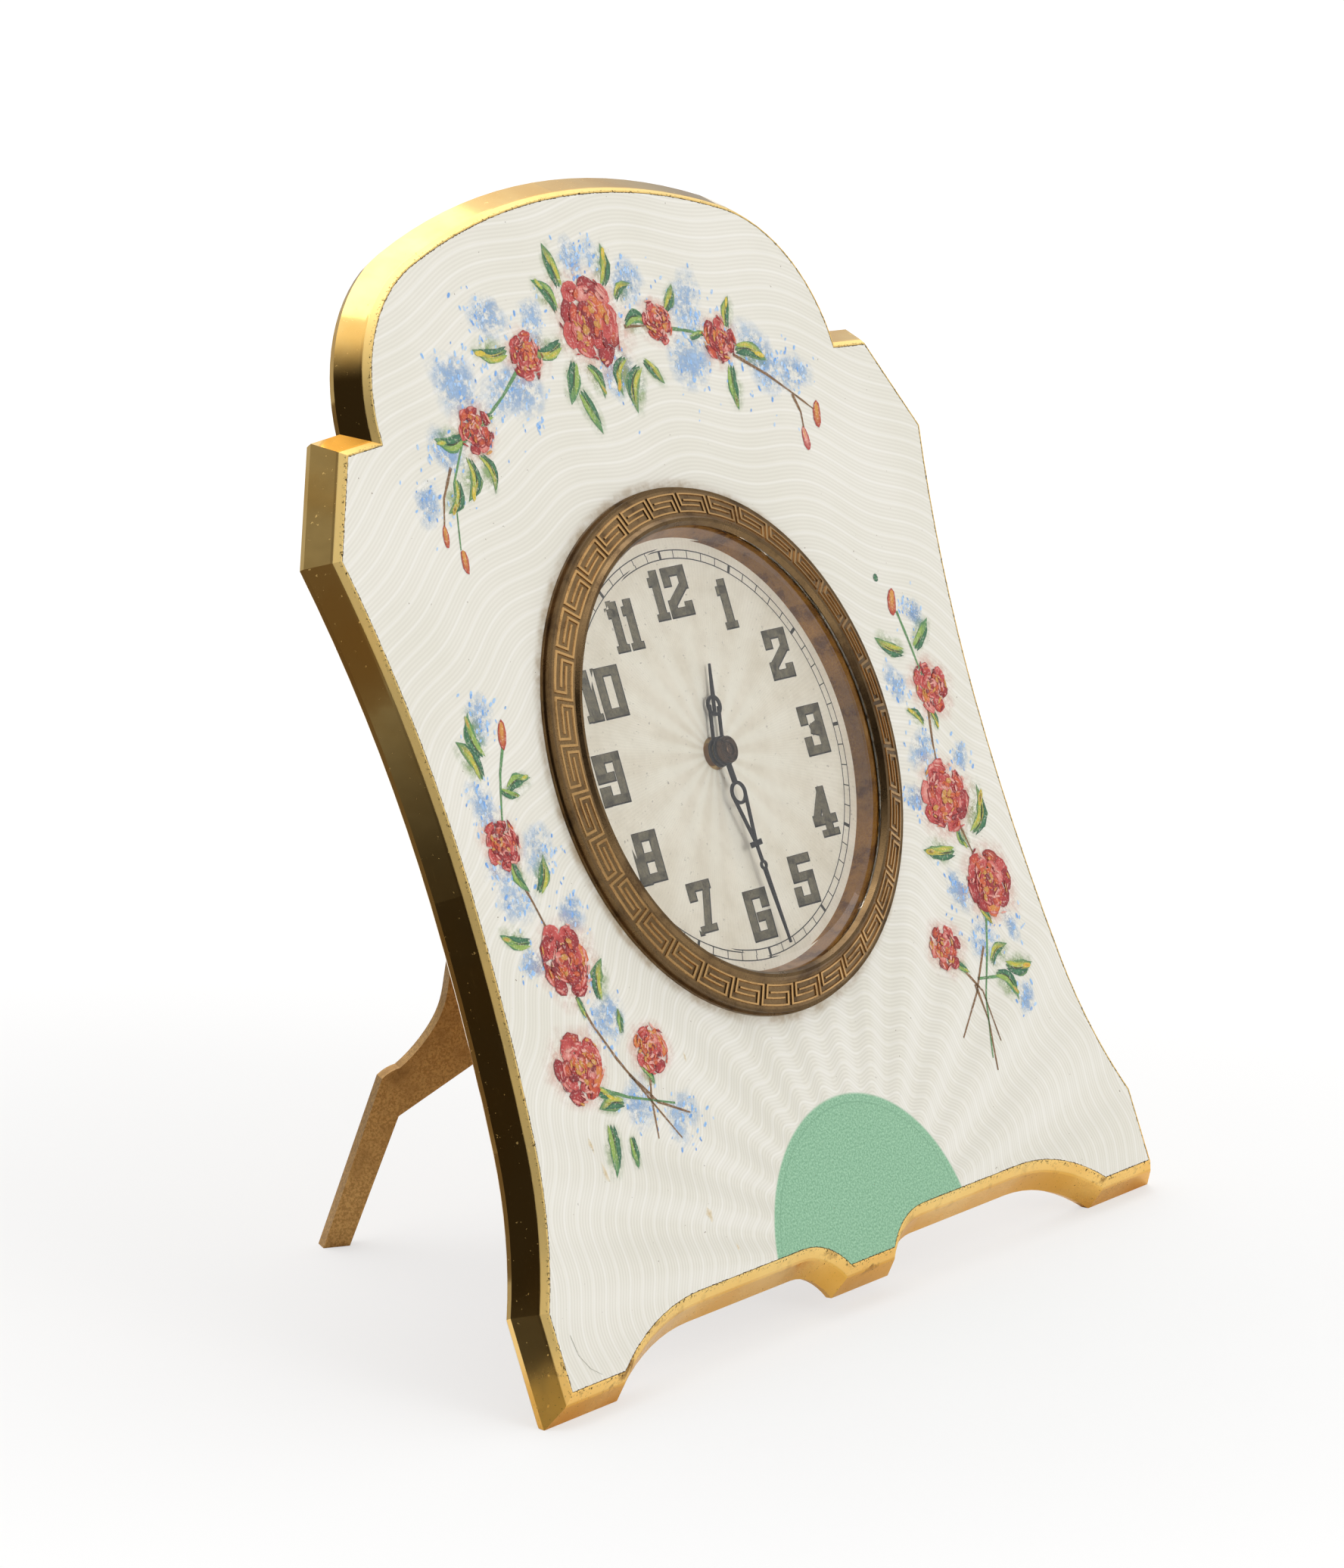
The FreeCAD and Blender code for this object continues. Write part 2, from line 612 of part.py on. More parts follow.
def make_dial():
    return turned("dial", [
        ("dial_hole_radius", "-dial_drop - dial_thickness"),
        ("dial_radius", "-dial_drop - dial_thickness"),
        ("dial_radius", "-dial_drop"),
        ("dial_hole_radius", "-dial_drop")])


def make_dial_spacer():
    return turned("dial_spacer", [
        ("dial_radius - spacer_wall", "-main_plate_drop"),
        ("dial_radius", "-main_plate_drop"),
        ("dial_radius", "-dial_drop - dial_thickness"),
        ("dial_radius - spacer_wall", "-dial_drop - dial_thickness")])


def hand_direction(angle):
    """Direction of a hand, anticlockwise from the right, the dial's turn included."""
    return 90 - angle - dim.dial_angle


def ring(centre, radius, width, front_drop, back_drop):
    outer = cylinder(radius, front_drop, back_drop, centre)
    return outer.cut(cylinder(radius - width, front_drop - dim.overrun, back_drop + dim.overrun, centre))


def tapered_tip(start, end, width, front_drop, back_drop):
    along = (end - start).normalize()
    side = Vector(-along.y, along.x, 0) * (width / 2)
    corners = [start + side, end + side * 0.35, end - side * 0.35, start - side, start + side]
    face = Part.Face(Part.makePolygon([point + Vector(0, 0, -back_drop) for point in corners]))
    return face.extrude(Vector(0, 0, back_drop - front_drop))


def make_hour_hand():
    back = dim.hour_hand_drop
    front = back - dim.hand_thickness
    bearing = hand_direction(dim.minute_angle / dim.hour_ratio)
    wire = dim.hand_wire_width
    middle = CLEAR.Base
    loop = heading(bearing, dim.hour_loop_reach)
    side = heading(bearing + 90, dim.hand_boss_radius * 0.45)
    loop_side = heading(bearing + 90, dim.hour_loop_radius * 0.7)
    shape = cylinder(dim.hand_boss_radius, front, back)
    shape = shape.fuse(ring(loop, dim.hour_loop_radius, wire, front, back))
    for sign in (-1, 1):
        root = middle + side * sign
        shape = shape.fuse(bar(root, loop + loop_side * sign * 0.9, wire, front, back))
    shape = shape.fuse(bar(heading(bearing, dim.hour_loop_reach - dim.hour_loop_radius),
                           heading(bearing, dim.hour_loop_reach + dim.hour_loop_radius), wire, front, back))
    tip_start = heading(bearing, dim.hour_loop_reach + dim.hour_loop_radius - wire / 2)
    shape = shape.fuse(tapered_tip(tip_start, heading(bearing, dim.hour_hand_length), wire * 1.4, front, back))
    bore = cylinder(cannon_pipe_radius() + dim.running_gap + hour_pipe_wall(), front - dim.overrun, back + dim.overrun)
    return feature("hour_hand", shape.cut(bore))


def make_minute_hand():
    back = dim.minute_hand_drop
    front = back - dim.hand_thickness
    bearing = hand_direction(dim.minute_angle)
    wire = dim.hand_wire_width
    loop = heading(bearing, dim.minute_loop_reach)
    cross = heading(bearing, dim.minute_cross_reach)
    across = heading(bearing + 90, dim.minute_cross_width / 2)
    eye = heading(bearing, dim.minute_eye_reach)
    shape = cylinder(dim.hand_boss_radius, front, back)
    shape = shape.fuse(bar(CLEAR.Base, heading(bearing, dim.minute_loop_reach - dim.minute_loop_radius + wire / 2),
                           wire * 2, front, back))
    shape = shape.fuse(ring(loop, dim.minute_loop_radius, wire, front, back))
    for sign in (-1, 1):
        flank = loop + heading(bearing + 90 * sign, dim.minute_loop_radius - wire / 2)
        shape = shape.fuse(bar(flank, cross, wire, front, back))
    shape = shape.fuse(bar(cross - across, cross + across, wire * 1.8, front, back))
    shape = shape.fuse(bar(cross, heading(bearing, dim.minute_eye_reach - dim.minute_eye_radius + wire / 2),
                           wire, front, back))
    shape = shape.fuse(ring(eye, dim.minute_eye_radius, wire * 0.7, front, back))
    tip_start = heading(bearing, dim.minute_eye_reach + dim.minute_eye_radius - wire / 2)
    shape = shape.fuse(tapered_tip(tip_start, heading(bearing, dim.minute_hand_length), wire * 1.6, front, back))
    bore = cylinder(cannon_pipe_radius(), front - dim.overrun, back + dim.overrun)
    return feature("minute_hand", shape.cut(bore))


def cannon_pipe_radius():
    """Outside of the cannon pinion's pipe, which carries the minute hand."""
    return dim.centre_arbor_radius * 1.3


def hour_pipe_wall():
    """Wall of the hour wheel's pipe, which turns on the cannon pinion."""
    return dim.dial_hole_radius * 0.15


def make_hand_nut():
    front = -dim.hand_nut_height
    back = dim.minute_hand_drop - dim.hand_thickness
    shape = cylinder(dim.hand_nut_radius, front, back)
    recess = cylinder(dim.hand_nut_radius * 0.55, front - dim.overrun, front + dim.hand_thickness / 2)
    return feature("hand_nut", shape.cut(recess))


# Wheels and pinions.


def toothed_disc(teeth, pitch_radius, rise_share, centre, facing, gap_there, front_drop, back_drop):
    """A toothed disc; a tooth, or with gap_there a gap, points along facing."""
    teeth = int(teeth)
    pitch = 360.0 / teeth
    module = 2 * pitch_radius / teeth
    outer = pitch_radius + module * rise_share
    inner = pitch_radius - module * (rise_share + 0.25)
    root_half_share, tip_half_share = 0.24, 0.13
    first = facing + (pitch / 2 if gap_there else 0)
    points = []
    for tooth in range(teeth):
        middle = first + tooth * pitch
        for share, radius in ((-root_half_share, inner), (-tip_half_share, outer),
                              (tip_half_share, outer), (root_half_share, inner)):
            points.append(heading(middle + share * pitch, radius, centre) + Vector(0, 0, -back_drop))
    points.append(points[0])
    return Part.Face(Part.makePolygon(points)).extrude(Vector(0, 0, back_drop - front_drop))


def crossed_out(disc, pitch_radius, hub_radius, centre, front_drop, back_drop):
    """The disc with its windows cut, so that rim, hub and spokes are left."""
    window = ring(centre, pitch_radius - dim.rim_width, pitch_radius - dim.rim_width - hub_radius,
                  front_drop - dim.overrun, back_drop + dim.overrun)
    count = int(dim.spokes)
    for index in range(count):
        far = heading(360.0 / count * index, pitch_radius, centre)
        window = window.cut(bar(centre, far, dim.spoke_width, front_drop - dim.overrun, back_drop + dim.overrun))
    return disc.cut(window)


def train_places():
    """Centres of the going train and the escapement."""
    centre = Vector(0, 0, 0)
    third = heading(dim.third_bearing, dim.centre_wheel_radius + pinion_radius("third"), centre)
    fourth = heading(dim.fourth_bearing, dim.third_wheel_radius + pinion_radius("fourth"), third)
    escape = heading(dim.escape_bearing, dim.fourth_wheel_radius + pinion_radius("escape"), fourth)
    return {"centre": centre, "third": third, "fourth": fourth, "escape": escape,
            "barrel": heading(dim.barrel_bearing, dim.barrel_reach),
            "pallet": heading(dim.pallet_bearing, dim.pallet_reach, escape),
            "balance": Vector(dim.balance_across, -dim.balance_down, 0),
            "minute_work": heading(dim.minute_work_bearing, dim.cannon_radius + minute_work_radius())}


def pinion_radius(name):
    """Pitch radius of a pinion, from the wheel that drives it."""
    if name == "centre":
        share = dim.centre_pinion_leaves / (dim.centre_pinion_leaves + dim.barrel_teeth)
        return dim.barrel_reach * share
    driver = {"third": ("centre_wheel_radius", "centre_teeth", "third_pinion_leaves"),
              "fourth": ("third_wheel_radius", "third_teeth", "fourth_pinion_leaves"),
              "escape": ("fourth_wheel_radius", "fourth_teeth", "escape_pinion_leaves")}[name]
    radius, teeth, leaves = (getattr(dim, alias) for alias in driver)
    return radius * leaves / teeth


def minute_work_radius():
    return dim.cannon_radius * dim.minute_work_teeth / dim.cannon_leaves


def minute_work_pinion_radius():
    apart = dim.cannon_radius + minute_work_radius()
    return apart * dim.minute_work_leaves / (dim.minute_work_leaves + dim.hour_teeth)


def hour_wheel_radius():
    return dim.cannon_radius + minute_work_radius() - minute_work_pinion_radius()


def plate_levels():
    """Depths of both faces of the main plate and of the top plate."""
    main_back = dim.main_plate_drop + dim.main_plate_thickness
    top_front = main_back + dim.train_gap
    return dim.main_plate_drop, main_back, top_front, top_front + dim.top_plate_thickness


def pivoted_arbor(spot, radius, pivot):
    """An arbor whose shoulders stand between the plates and whose pivots enter them."""
    main_front, main_back, top_front, top_back = plate_levels()
    body = cylinder(radius, main_back + dim.shake_gap, top_front - dim.shake_gap, spot)
    return body.fuse(cylinder(pivot, main_front, top_back, spot))


def bearing_to(start, end):
    gap = end - start
    return math.degrees(math.atan2(gap.y, gap.x))


TOOTH_RISE_SHARE = 0.55


def make_train_wheel(name, teeth_alias, radius_alias, drop_alias, pinion_front, previous, following):
    """A wheel, its pinion and its arbor, meshed with the wheel before and the pinion after."""
    spots = train_places()
    spot = spots[name]
    teeth, radius, front = (getattr(dim, alias) for alias in (teeth_alias, radius_alias, drop_alias))
    back = front + dim.wheel_thickness
    facing = bearing_to(spot, spots[following])
    disc = toothed_disc(teeth, radius, TOOTH_RISE_SHARE, spot, facing, False, front, back)
    disc = crossed_out(disc, radius, dim.arbor_radius * 3, spot, front, back)
    leaves = getattr(dim, name + "_pinion_leaves")
    pinion = toothed_disc(leaves, pinion_radius(name), TOOTH_RISE_SHARE, spot,
                          bearing_to(spot, spots[previous]), True, pinion_front, pinion_front + dim.pinion_length)
    arbor = pivoted_arbor(spot, min(dim.arbor_radius, pinion_radius(name) * 0.7), dim.pivot_radius)
    return feature(name + "_wheel", arbor.fuse([disc, pinion]))


def make_centre_wheel():
    """Centre wheel and its hollow pinion, which the arbor of the hands runs through."""
    spots = train_places()
    main_front, main_back, top_front, top_back = plate_levels()
    front = dim.centre_wheel_drop
    disc = toothed_disc(dim.centre_teeth, dim.centre_wheel_radius, TOOTH_RISE_SHARE, spots["centre"],
                        bearing_to(spots["centre"], spots["third"]), False, front, front + dim.wheel_thickness)
    disc = crossed_out(disc, dim.centre_wheel_radius, dim.centre_sleeve_radius * 2, spots["centre"],
                       front, front + dim.wheel_thickness)
    pinion_front = barrel_front()
    pinion = toothed_disc(dim.centre_pinion_leaves, pinion_radius("centre"), TOOTH_RISE_SHARE, spots["centre"],
                          bearing_to(spots["centre"], spots["barrel"]), True,
                          pinion_front, pinion_front + dim.barrel_tooth_depth)
    sleeve = cylinder(dim.centre_sleeve_radius, main_back + dim.shake_gap, top_front - dim.shake_gap)
    bore = cylinder(dim.centre_arbor_radius + dim.running_gap, 0, dim.cover_drop)
    return feature("centre_wheel", sleeve.fuse([disc, pinion]).cut(bore))


def make_centre_arbor():
    """The arbor that carries the hands in front and the setting knob behind."""
    return feature("centre_arbor", cylinder(dim.centre_arbor_radius, dim.minute_hand_drop,
                                            dim.cover_drop + dim.knob_clearance))


def barrel_front():
    return dim.main_plate_drop + dim.main_plate_thickness + dim.shake_gap * 2


def barrel_tooth_radius():
    return dim.barrel_reach - pinion_radius("centre")


def make_barrel():
    """The spring barrel: a drum with a lid, and teeth round its base."""
    spots = train_places()
    spot = spots["barrel"]
    front = barrel_front()
    back = front + dim.barrel_height
    teeth = toothed_disc(dim.barrel_teeth, barrel_tooth_radius(), TOOTH_RISE_SHARE, spot,
                         bearing_to(spot, spots["centre"]), False, front, front + dim.barrel_tooth_depth)
    drum_radius = barrel_tooth_radius() - dim.barrel_wall
    shape = teeth.fuse(cylinder(drum_radius, front, back, spot))
    room = cylinder(drum_radius - dim.barrel_wall, front + dim.barrel_wall, back - dim.barrel_wall, spot)
    bore = cylinder(dim.barrel_arbor_radius + dim.running_gap, front - dim.overrun, back + dim.overrun, spot)
    return feature("barrel", shape.cut(room).cut(bore))


def make_mainspring():
    """The mainspring, wound against the barrel's wall."""
    spot = train_places()["barrel"]
    front = barrel_front() + dim.barrel_wall + dim.fit_gap
    back = barrel_front() + dim.barrel_height - dim.barrel_wall - dim.fit_gap
    outer = barrel_tooth_radius() - dim.barrel_wall * 2 - dim.fit_gap
    inner = dim.barrel_hub_radius + dim.spring_gap
    return feature("mainspring", ring(spot, outer, outer - inner, front, back))


def make_barrel_arbor():
    """Barrel arbor: hub inside the spring, and the square that takes ratchet and key."""
    spot = train_places()["barrel"]
    main_front, main_back, top_front, top_back = plate_levels()
    hub_front = barrel_front() + dim.barrel_wall + dim.shake_gap
    hub_back = barrel_front() + dim.barrel_height - dim.barrel_wall - dim.shake_gap
    shape = cylinder(dim.barrel_arbor_radius, main_front, top_back, spot)
    shape = shape.fuse(cylinder(dim.barrel_hub_radius, hub_front, hub_back, spot))
    side = key_square_side()
    reach = Vector(side / 2, 0, 0)
    square = bar(spot - reach, spot + reach, side, top_back - dim.overrun / 2, key_front() + dim.key_pipe_length)
    return feature("barrel_arbor", shape.fuse(square))


def key_square_side():
    return dim.barrel_arbor_radius * 1.3


def key_front():
    return dim.cover_drop + dim.key_clearance


def ratchet_front():
    return plate_levels()[3] + dim.shake_gap


def make_ratchet_wheel():
    """Ratchet wheel on the barrel arbor's square."""
    spot = train_places()["barrel"]
    front = ratchet_front()
    back = front + dim.ratchet_thickness
    teeth = int(dim.ratchet_teeth)
    pitch = 360.0 / teeth
    inner = dim.ratchet_radius * 0.88
    points = []
    for tooth in range(teeth):
        points.append(heading(tooth * pitch, inner, spot))
        points.append(heading((tooth + 0.12) * pitch, dim.ratchet_radius, spot))
    points = [point + Vector(0, 0, -back) for point in points]
    points.append(points[0])
    disc = Part.Face(Part.makePolygon(points)).extrude(Vector(0, 0, back - front))
    half = Vector(key_square_side() / 2 + dim.fit_gap, 0, 0)
    hole = bar(spot - half, spot + half, key_square_side() + dim.fit_gap * 2,
               front - dim.overrun, back + dim.overrun)
    return feature("ratchet_wheel", disc.cut(hole))


def click_place():
    apart = dim.ratchet_radius + dim.click_length * 0.55
    return heading(dim.click_bearing, apart, train_places()["barrel"])


def click_stud_radius():
    return dim.click_width * 0.3


def make_click():
    """The click, whose tip stands over the ratchet's teeth."""
    spot = click_place()
    centre = train_places()["barrel"]
    front = ratchet_front()
    back = front + dim.ratchet_thickness
    inward = bearing_to(spot, centre)
    reach = math.hypot(dim.click_length * 0.55, dim.click_width)
    tip = heading(inward + 62, dim.click_length, spot)
    nearest = dim.ratchet_radius + dim.fit_gap * 3
    away = (tip - centre).normalize()
    if (tip - centre).Length < nearest + dim.click_width / 4:
        tip = centre + away * (nearest + dim.click_width / 4)
    shape = cylinder(dim.click_width / 2, front, back, spot)
    shape = shape.fuse(tapered_tip(spot, tip, dim.click_width, front, back))
    shape = shape.cut(cylinder(dim.ratchet_radius + dim.fit_gap, front - dim.overrun, back + dim.overrun, centre))
    hole = cylinder(click_stud_radius() + dim.running_gap, front - dim.overrun, back + dim.overrun, spot)
    return feature("click", shape.cut(hole))


def make_click_screw():
    """Shouldered screw on which the click swings."""
    spot = click_place()
    top_back = plate_levels()[3]
    head_front = ratchet_front() + dim.ratchet_thickness + dim.shake_gap
    stud = cylinder(click_stud_radius(), top_back - dim.top_plate_thickness / 2, head_front, spot)
    head = cylinder(dim.click_width / 2, head_front, head_front + dim.pillar_screw_height / 2, spot)
    return feature("click_screw", stud.fuse(head))


def make_escape_wheel():
    """Escape wheel with raked teeth, its pinion and arbor."""
    spots = train_places()
    spot = spots["escape"]
    front = dim.escape_wheel_drop
    back = front + dim.wheel_thickness
    teeth = int(dim.escape_teeth)
    pitch = 360.0 / teeth
    inner = dim.escape_wheel_radius * 0.76
    points = []
    for tooth in range(teeth):
        points.append(heading(tooth * pitch, inner, spot))
        points.append(heading((tooth + 0.3) * pitch, inner, spot))
        points.append(heading((tooth + 0.75) * pitch, dim.escape_wheel_radius, spot))
        points.append(heading((tooth + 0.85) * pitch, dim.escape_wheel_radius, spot))
    points = [point + Vector(0, 0, -back) for point in points]
    points.append(points[0])
    disc = Part.Face(Part.makePolygon(points)).extrude(Vector(0, 0, back - front))
    pinion_front = dim.fourth_wheel_drop - dim.shake_gap * 2
    pinion = toothed_disc(dim.escape_pinion_leaves, pinion_radius("escape"), TOOTH_RISE_SHARE, spot,
                          bearing_to(spot, spots["fourth"]), True, pinion_front, pinion_front + dim.pinion_length)
    arbor = pivoted_arbor(spot, pinion_radius("escape") * 0.7, dim.pivot_radius)
    return feature("escape_wheel", arbor.fuse([disc, pinion]))


def make_pallet_lever():
    """Pallet lever: two arms towards the escape wheel and a fork towards the balance."""
    spots = train_places()
    spot = spots["pallet"]
    front = dim.escape_wheel_drop - dim.wheel_thickness / 4
    back = dim.escape_wheel_drop + dim.wheel_thickness * 1.25
    width = dim.arbor_radius * 1.3
    to_escape = bearing_to(spot, spots["escape"])
    clear = dim.escape_wheel_radius + dim.shake_gap * 4 + width / 2
    shape = pivoted_arbor(spot, dim.arbor_radius * 0.8, dim.pivot_radius)
    for sign in (-1, 1):
        pallet = heading(to_escape + 180 + sign * 45, clear, spots["escape"])
        shape = shape.fuse(bar(spot, pallet, width, front, back))
        shape = shape.fuse(cylinder(width / 2, front, back, pallet))
    fork_length = (spots["balance"] - spot).Length - dim.roller_radius - dim.shake_gap * 3
    fork = heading(bearing_to(spot, spots["balance"]), fork_length, spot)
    shape = shape.fuse(tapered_tip(spot, fork, width * 1.4, front, back))
    return feature("pallet_lever", shape)


def make_balance_wheel():
    """Balance: rim, two arms, staff and roller."""
    spot = train_places()["balance"]
    front = dim.balance_drop
    back = front + dim.balance_thickness
    shape = ring(spot, dim.balance_radius, dim.balance_rim_width, front, back)
    reach = dim.balance_radius - dim.balance_rim_width / 2
    shape = shape.fuse(bar(heading(35, reach, spot), heading(215, reach, spot),
                           dim.balance_rim_width, front, back))
    main_front, main_back, top_front, top_back = plate_levels()
    staff = cylinder(dim.arbor_radius, main_back + dim.shake_gap, top_back - dim.shake_gap, spot)
    pivots = cylinder(dim.pivot_radius, main_front, cock_back(), spot)
    roller_front = dim.escape_wheel_drop - dim.wheel_thickness / 4
    roller = cylinder(dim.roller_radius, roller_front, dim.escape_wheel_drop + dim.wheel_thickness, spot)
    return feature("balance_wheel", shape.fuse([staff, pivots, roller]))


def cock_back():
    return plate_levels()[3] + dim.cock_thickness


def make_hairspring():
    """The flat hairspring, as a spiral ribbon, pinned to the stud of the cock."""
    spot = train_places()["balance"]
    start = dim.arbor_radius + dim.hairspring_wire * 2
    steps_per_turn = 12
    steps = int(dim.hairspring_turns) * steps_per_turn
    outer, inner = [], []
    for step in range(steps + 1):
        angle = 360.0 * step / steps_per_turn
        radius = start + (dim.hairspring_radius - start) * step / steps
        outer.append(heading(angle, radius + dim.hairspring_wire / 2, spot))
        inner.append(heading(angle, radius - dim.hairspring_wire / 2, spot))
    points = outer + inner[::-1] + outer[:1]
    lift = Vector(0, 0, -dim.hairspring_drop - dim.hairspring_height)
    face = Part.Face(Part.makePolygon([point + lift for point in points]))
    ribbon = face.extrude(Vector(0, 0, dim.hairspring_height))
    return feature("hairspring", ribbon)


def cock_foot():
    return heading(dim.cock_bearing, dim.cock_foot_reach, train_places()["balance"])


def make_balance_cock():
    """Balance cock with the stud that holds the hairspring's outer end."""
    spot = train_places()["balance"]
    foot = cock_foot()
    front = plate_levels()[3]
    back = cock_back()
    shape = bar(spot, foot, dim.cock_width, front, back)
    shape = shape.fuse([cylinder(dim.cock_width / 2, front, back, spot),
                        cylinder(dim.cock_width * 0.7, front, back, foot)])
    hole = cylinder(dim.pivot_radius + dim.running_gap, front - dim.overrun, back + dim.overrun, spot)
    shape = shape.cut(hole)
    screw = cylinder(dim.screw_shank_radius + dim.fit_gap, front - dim.overrun, back + dim.overrun, foot)
    shape = shape.cut(screw)
    stud_spot = heading(0, dim.hairspring_radius, spot)
    stud_radius = dim.hairspring_wire * 2
    stud_front = dim.hairspring_drop + dim.hairspring_height
    arm = bar(spot + Vector(dim.cock_width / 4, 0, 0), stud_spot, stud_radius * 2, front, back)
    stud = cylinder(stud_radius, stud_front, back, stud_spot)
    return feature("balance_cock", shape.fuse([arm, stud]))


def make_cock_screw():
    foot = cock_foot()
    head = cylinder(dim.screw_head_radius, cock_back(), cock_back() + dim.screw_head_height, foot)
    shank = cylinder(dim.screw_shank_radius, plate_levels()[2] + dim.fit_gap, cock_back(), foot)
    return feature("cock_screw", head.fuse(shank))


# Plates and pillars.

PILLAR_BEARINGS = (60, 150, 245, 320)


def pillar_places():
    return [heading(bearing, dim.pillar_reach) for bearing in PILLAR_BEARINGS]


def make_main_plate():
    """Main plate: disc with every pivot hole and the stud of the minute work."""
    front, back, _, _ = plate_levels()
    spots = train_places()
    shape = cylinder(dim.can_bore_radius - dim.fit_gap, front, back)
    holes = [(dim.pivot_radius, spots[name]) for name in ("third", "fourth", "escape", "pallet", "balance")]
    holes.append((dim.centre_arbor_radius, spots["centre"]))
    holes.append((dim.barrel_arbor_radius, spots["barrel"]))
    for radius, spot in holes:
        shape = shape.cut(cylinder(radius + dim.running_gap, front - dim.overrun, back + dim.overrun, spot))
    stud = cylinder(dim.arbor_radius, minute_work_front(), front, spots["minute_work"])
    return feature("main_plate", shape.fuse(stud))


def make_pillars():
    _, back, top_front, _ = plate_levels()
    return feature("pillars", Part.makeCompound([cylinder(dim.pillar_radius, back, top_front, spot)
                                                 for spot in pillar_places()]))


def make_top_plate():
    """Top plate with its pivot holes and the window for the balance."""
    _, _, front, back = plate_levels()
    spots = train_places()
    shape = cylinder(dim.top_plate_radius, front, back)
    holes = [(dim.pivot_radius + dim.running_gap, spots[name]) for name in ("third", "fourth", "escape", "pallet")]
    holes.append((dim.centre_arbor_radius + dim.running_gap, spots["centre"]))
    holes.append((dim.barrel_arbor_radius + dim.running_gap, spots["barrel"]))
    holes.append((dim.balance_window_radius, spots["balance"]))
    holes.append((dim.screw_shank_radius + dim.fit_gap, cock_foot()))
    for radius, spot in holes:
        shape = shape.cut(cylinder(radius, front - dim.overrun, back + dim.overrun, spot))
    shape = shape.cut(cylinder(click_stud_radius() + dim.fit_gap / 2, back - dim.top_plate_thickness / 2,
                               back + dim.overrun, click_place()))
    return feature("top_plate", shape)


def make_pillar_screws():
    """Heads of the four screws that hold the top plate on its pillars."""
    back = plate_levels()[3]
    heads = []
    for spot in pillar_places():
        head_back = back + dim.pillar_screw_height
        head = cylinder(dim.pillar_screw_radius, back, head_back, spot)
        reach = Vector(dim.pillar_screw_radius + dim.fit_gap, 0, 0)
        slot = bar(spot - reach, spot + reach, dim.screw_slot_width,
                   head_back - dim.pillar_screw_height / 2, head_back + dim.overrun)
        heads.append(head.cut(slot))
    return feature("pillar_screws", Part.makeCompound(heads))


# Motion work between the dial and the main plate.


def minute_work_front():
    return dim.dial_drop + dim.dial_thickness + dim.shake_gap


def hour_wheel_levels():
    front = minute_work_front()
    return front, front + dim.wheel_thickness


def minute_work_levels():
    back = dim.main_plate_drop - dim.shake_gap
    return back - dim.wheel_thickness, back


def make_cannon_pinion():
    """Cannon pinion: a pipe on the centre arbor, leaves below, minute hand on top."""
    spots = train_places()
    leaves_front, leaves_back = minute_work_levels()
    bore = dim.centre_arbor_radius
    pipe = cylinder(cannon_pipe_radius(), dim.minute_hand_drop, leaves_back)
    leaves = toothed_disc(dim.cannon_leaves, dim.cannon_radius, TOOTH_RISE_SHARE, spots["centre"],
                          bearing_to(spots["centre"], spots["minute_work"]), True, leaves_front, leaves_back)
    shape = pipe.fuse(leaves).cut(cylinder(bore, -dim.overrun, leaves_back + dim.overrun))
    return feature("cannon_pinion", shape)


def make_minute_wheel():
    """Minute work: the wheel that the cannon pinion drives, with its own pinion."""
    spots = train_places()
    spot = spots["minute_work"]
    front, back = minute_work_levels()
    facing = bearing_to(spot, spots["centre"])
    wheel = toothed_disc(dim.minute_work_teeth, minute_work_radius(), TOOTH_RISE_SHARE, spot,
                         facing, False, front, back)
    hour_front, hour_back = hour_wheel_levels()
    pinion = toothed_disc(dim.minute_work_leaves, minute_work_pinion_radius(), TOOTH_RISE_SHARE, spot,
                          facing, True, hour_front, front)
    bore = cylinder(dim.arbor_radius + dim.running_gap, front - dim.overrun, back + dim.overrun, spot)
    return feature("minute_wheel", wheel.fuse(pinion).cut(bore))


def make_hour_wheel():
    """Hour wheel, whose pipe turns on the cannon pinion and carries the hour hand."""
    spots = train_places()
    front, back = hour_wheel_levels()
    disc = toothed_disc(dim.hour_teeth, hour_wheel_radius(), TOOTH_RISE_SHARE, spots["centre"],
                        bearing_to(spots["centre"], spots["minute_work"]), False, front, back)
    bore = cannon_pipe_radius() + dim.running_gap
    pipe = cylinder(bore + hour_pipe_wall(), dim.hour_hand_drop - dim.hand_thickness, back)
    shape = disc.fuse(pipe).cut(cylinder(bore, -dim.overrun, back + dim.overrun))
    return feature("hour_wheel", shape)


# The can and its cover.


def make_movement_can():
    return turned("movement_can", [
        ("can_bore_radius", "-enamel_thickness"),
        ("can_radius", "-enamel_thickness"),
        ("can_radius", "-cover_drop + cover_thickness"),
        ("can_bore_radius", "-cover_drop + cover_thickness"),
        ("can_bore_radius", "-main_plate_drop - main_plate_thickness - can_ledge_depth"),
        ("can_ledge_radius", "-main_plate_drop - main_plate_thickness - can_ledge_depth"),
        ("can_ledge_radius", "-main_plate_drop - main_plate_thickness"),
        ("can_bore_radius", "-main_plate_drop - main_plate_thickness")])


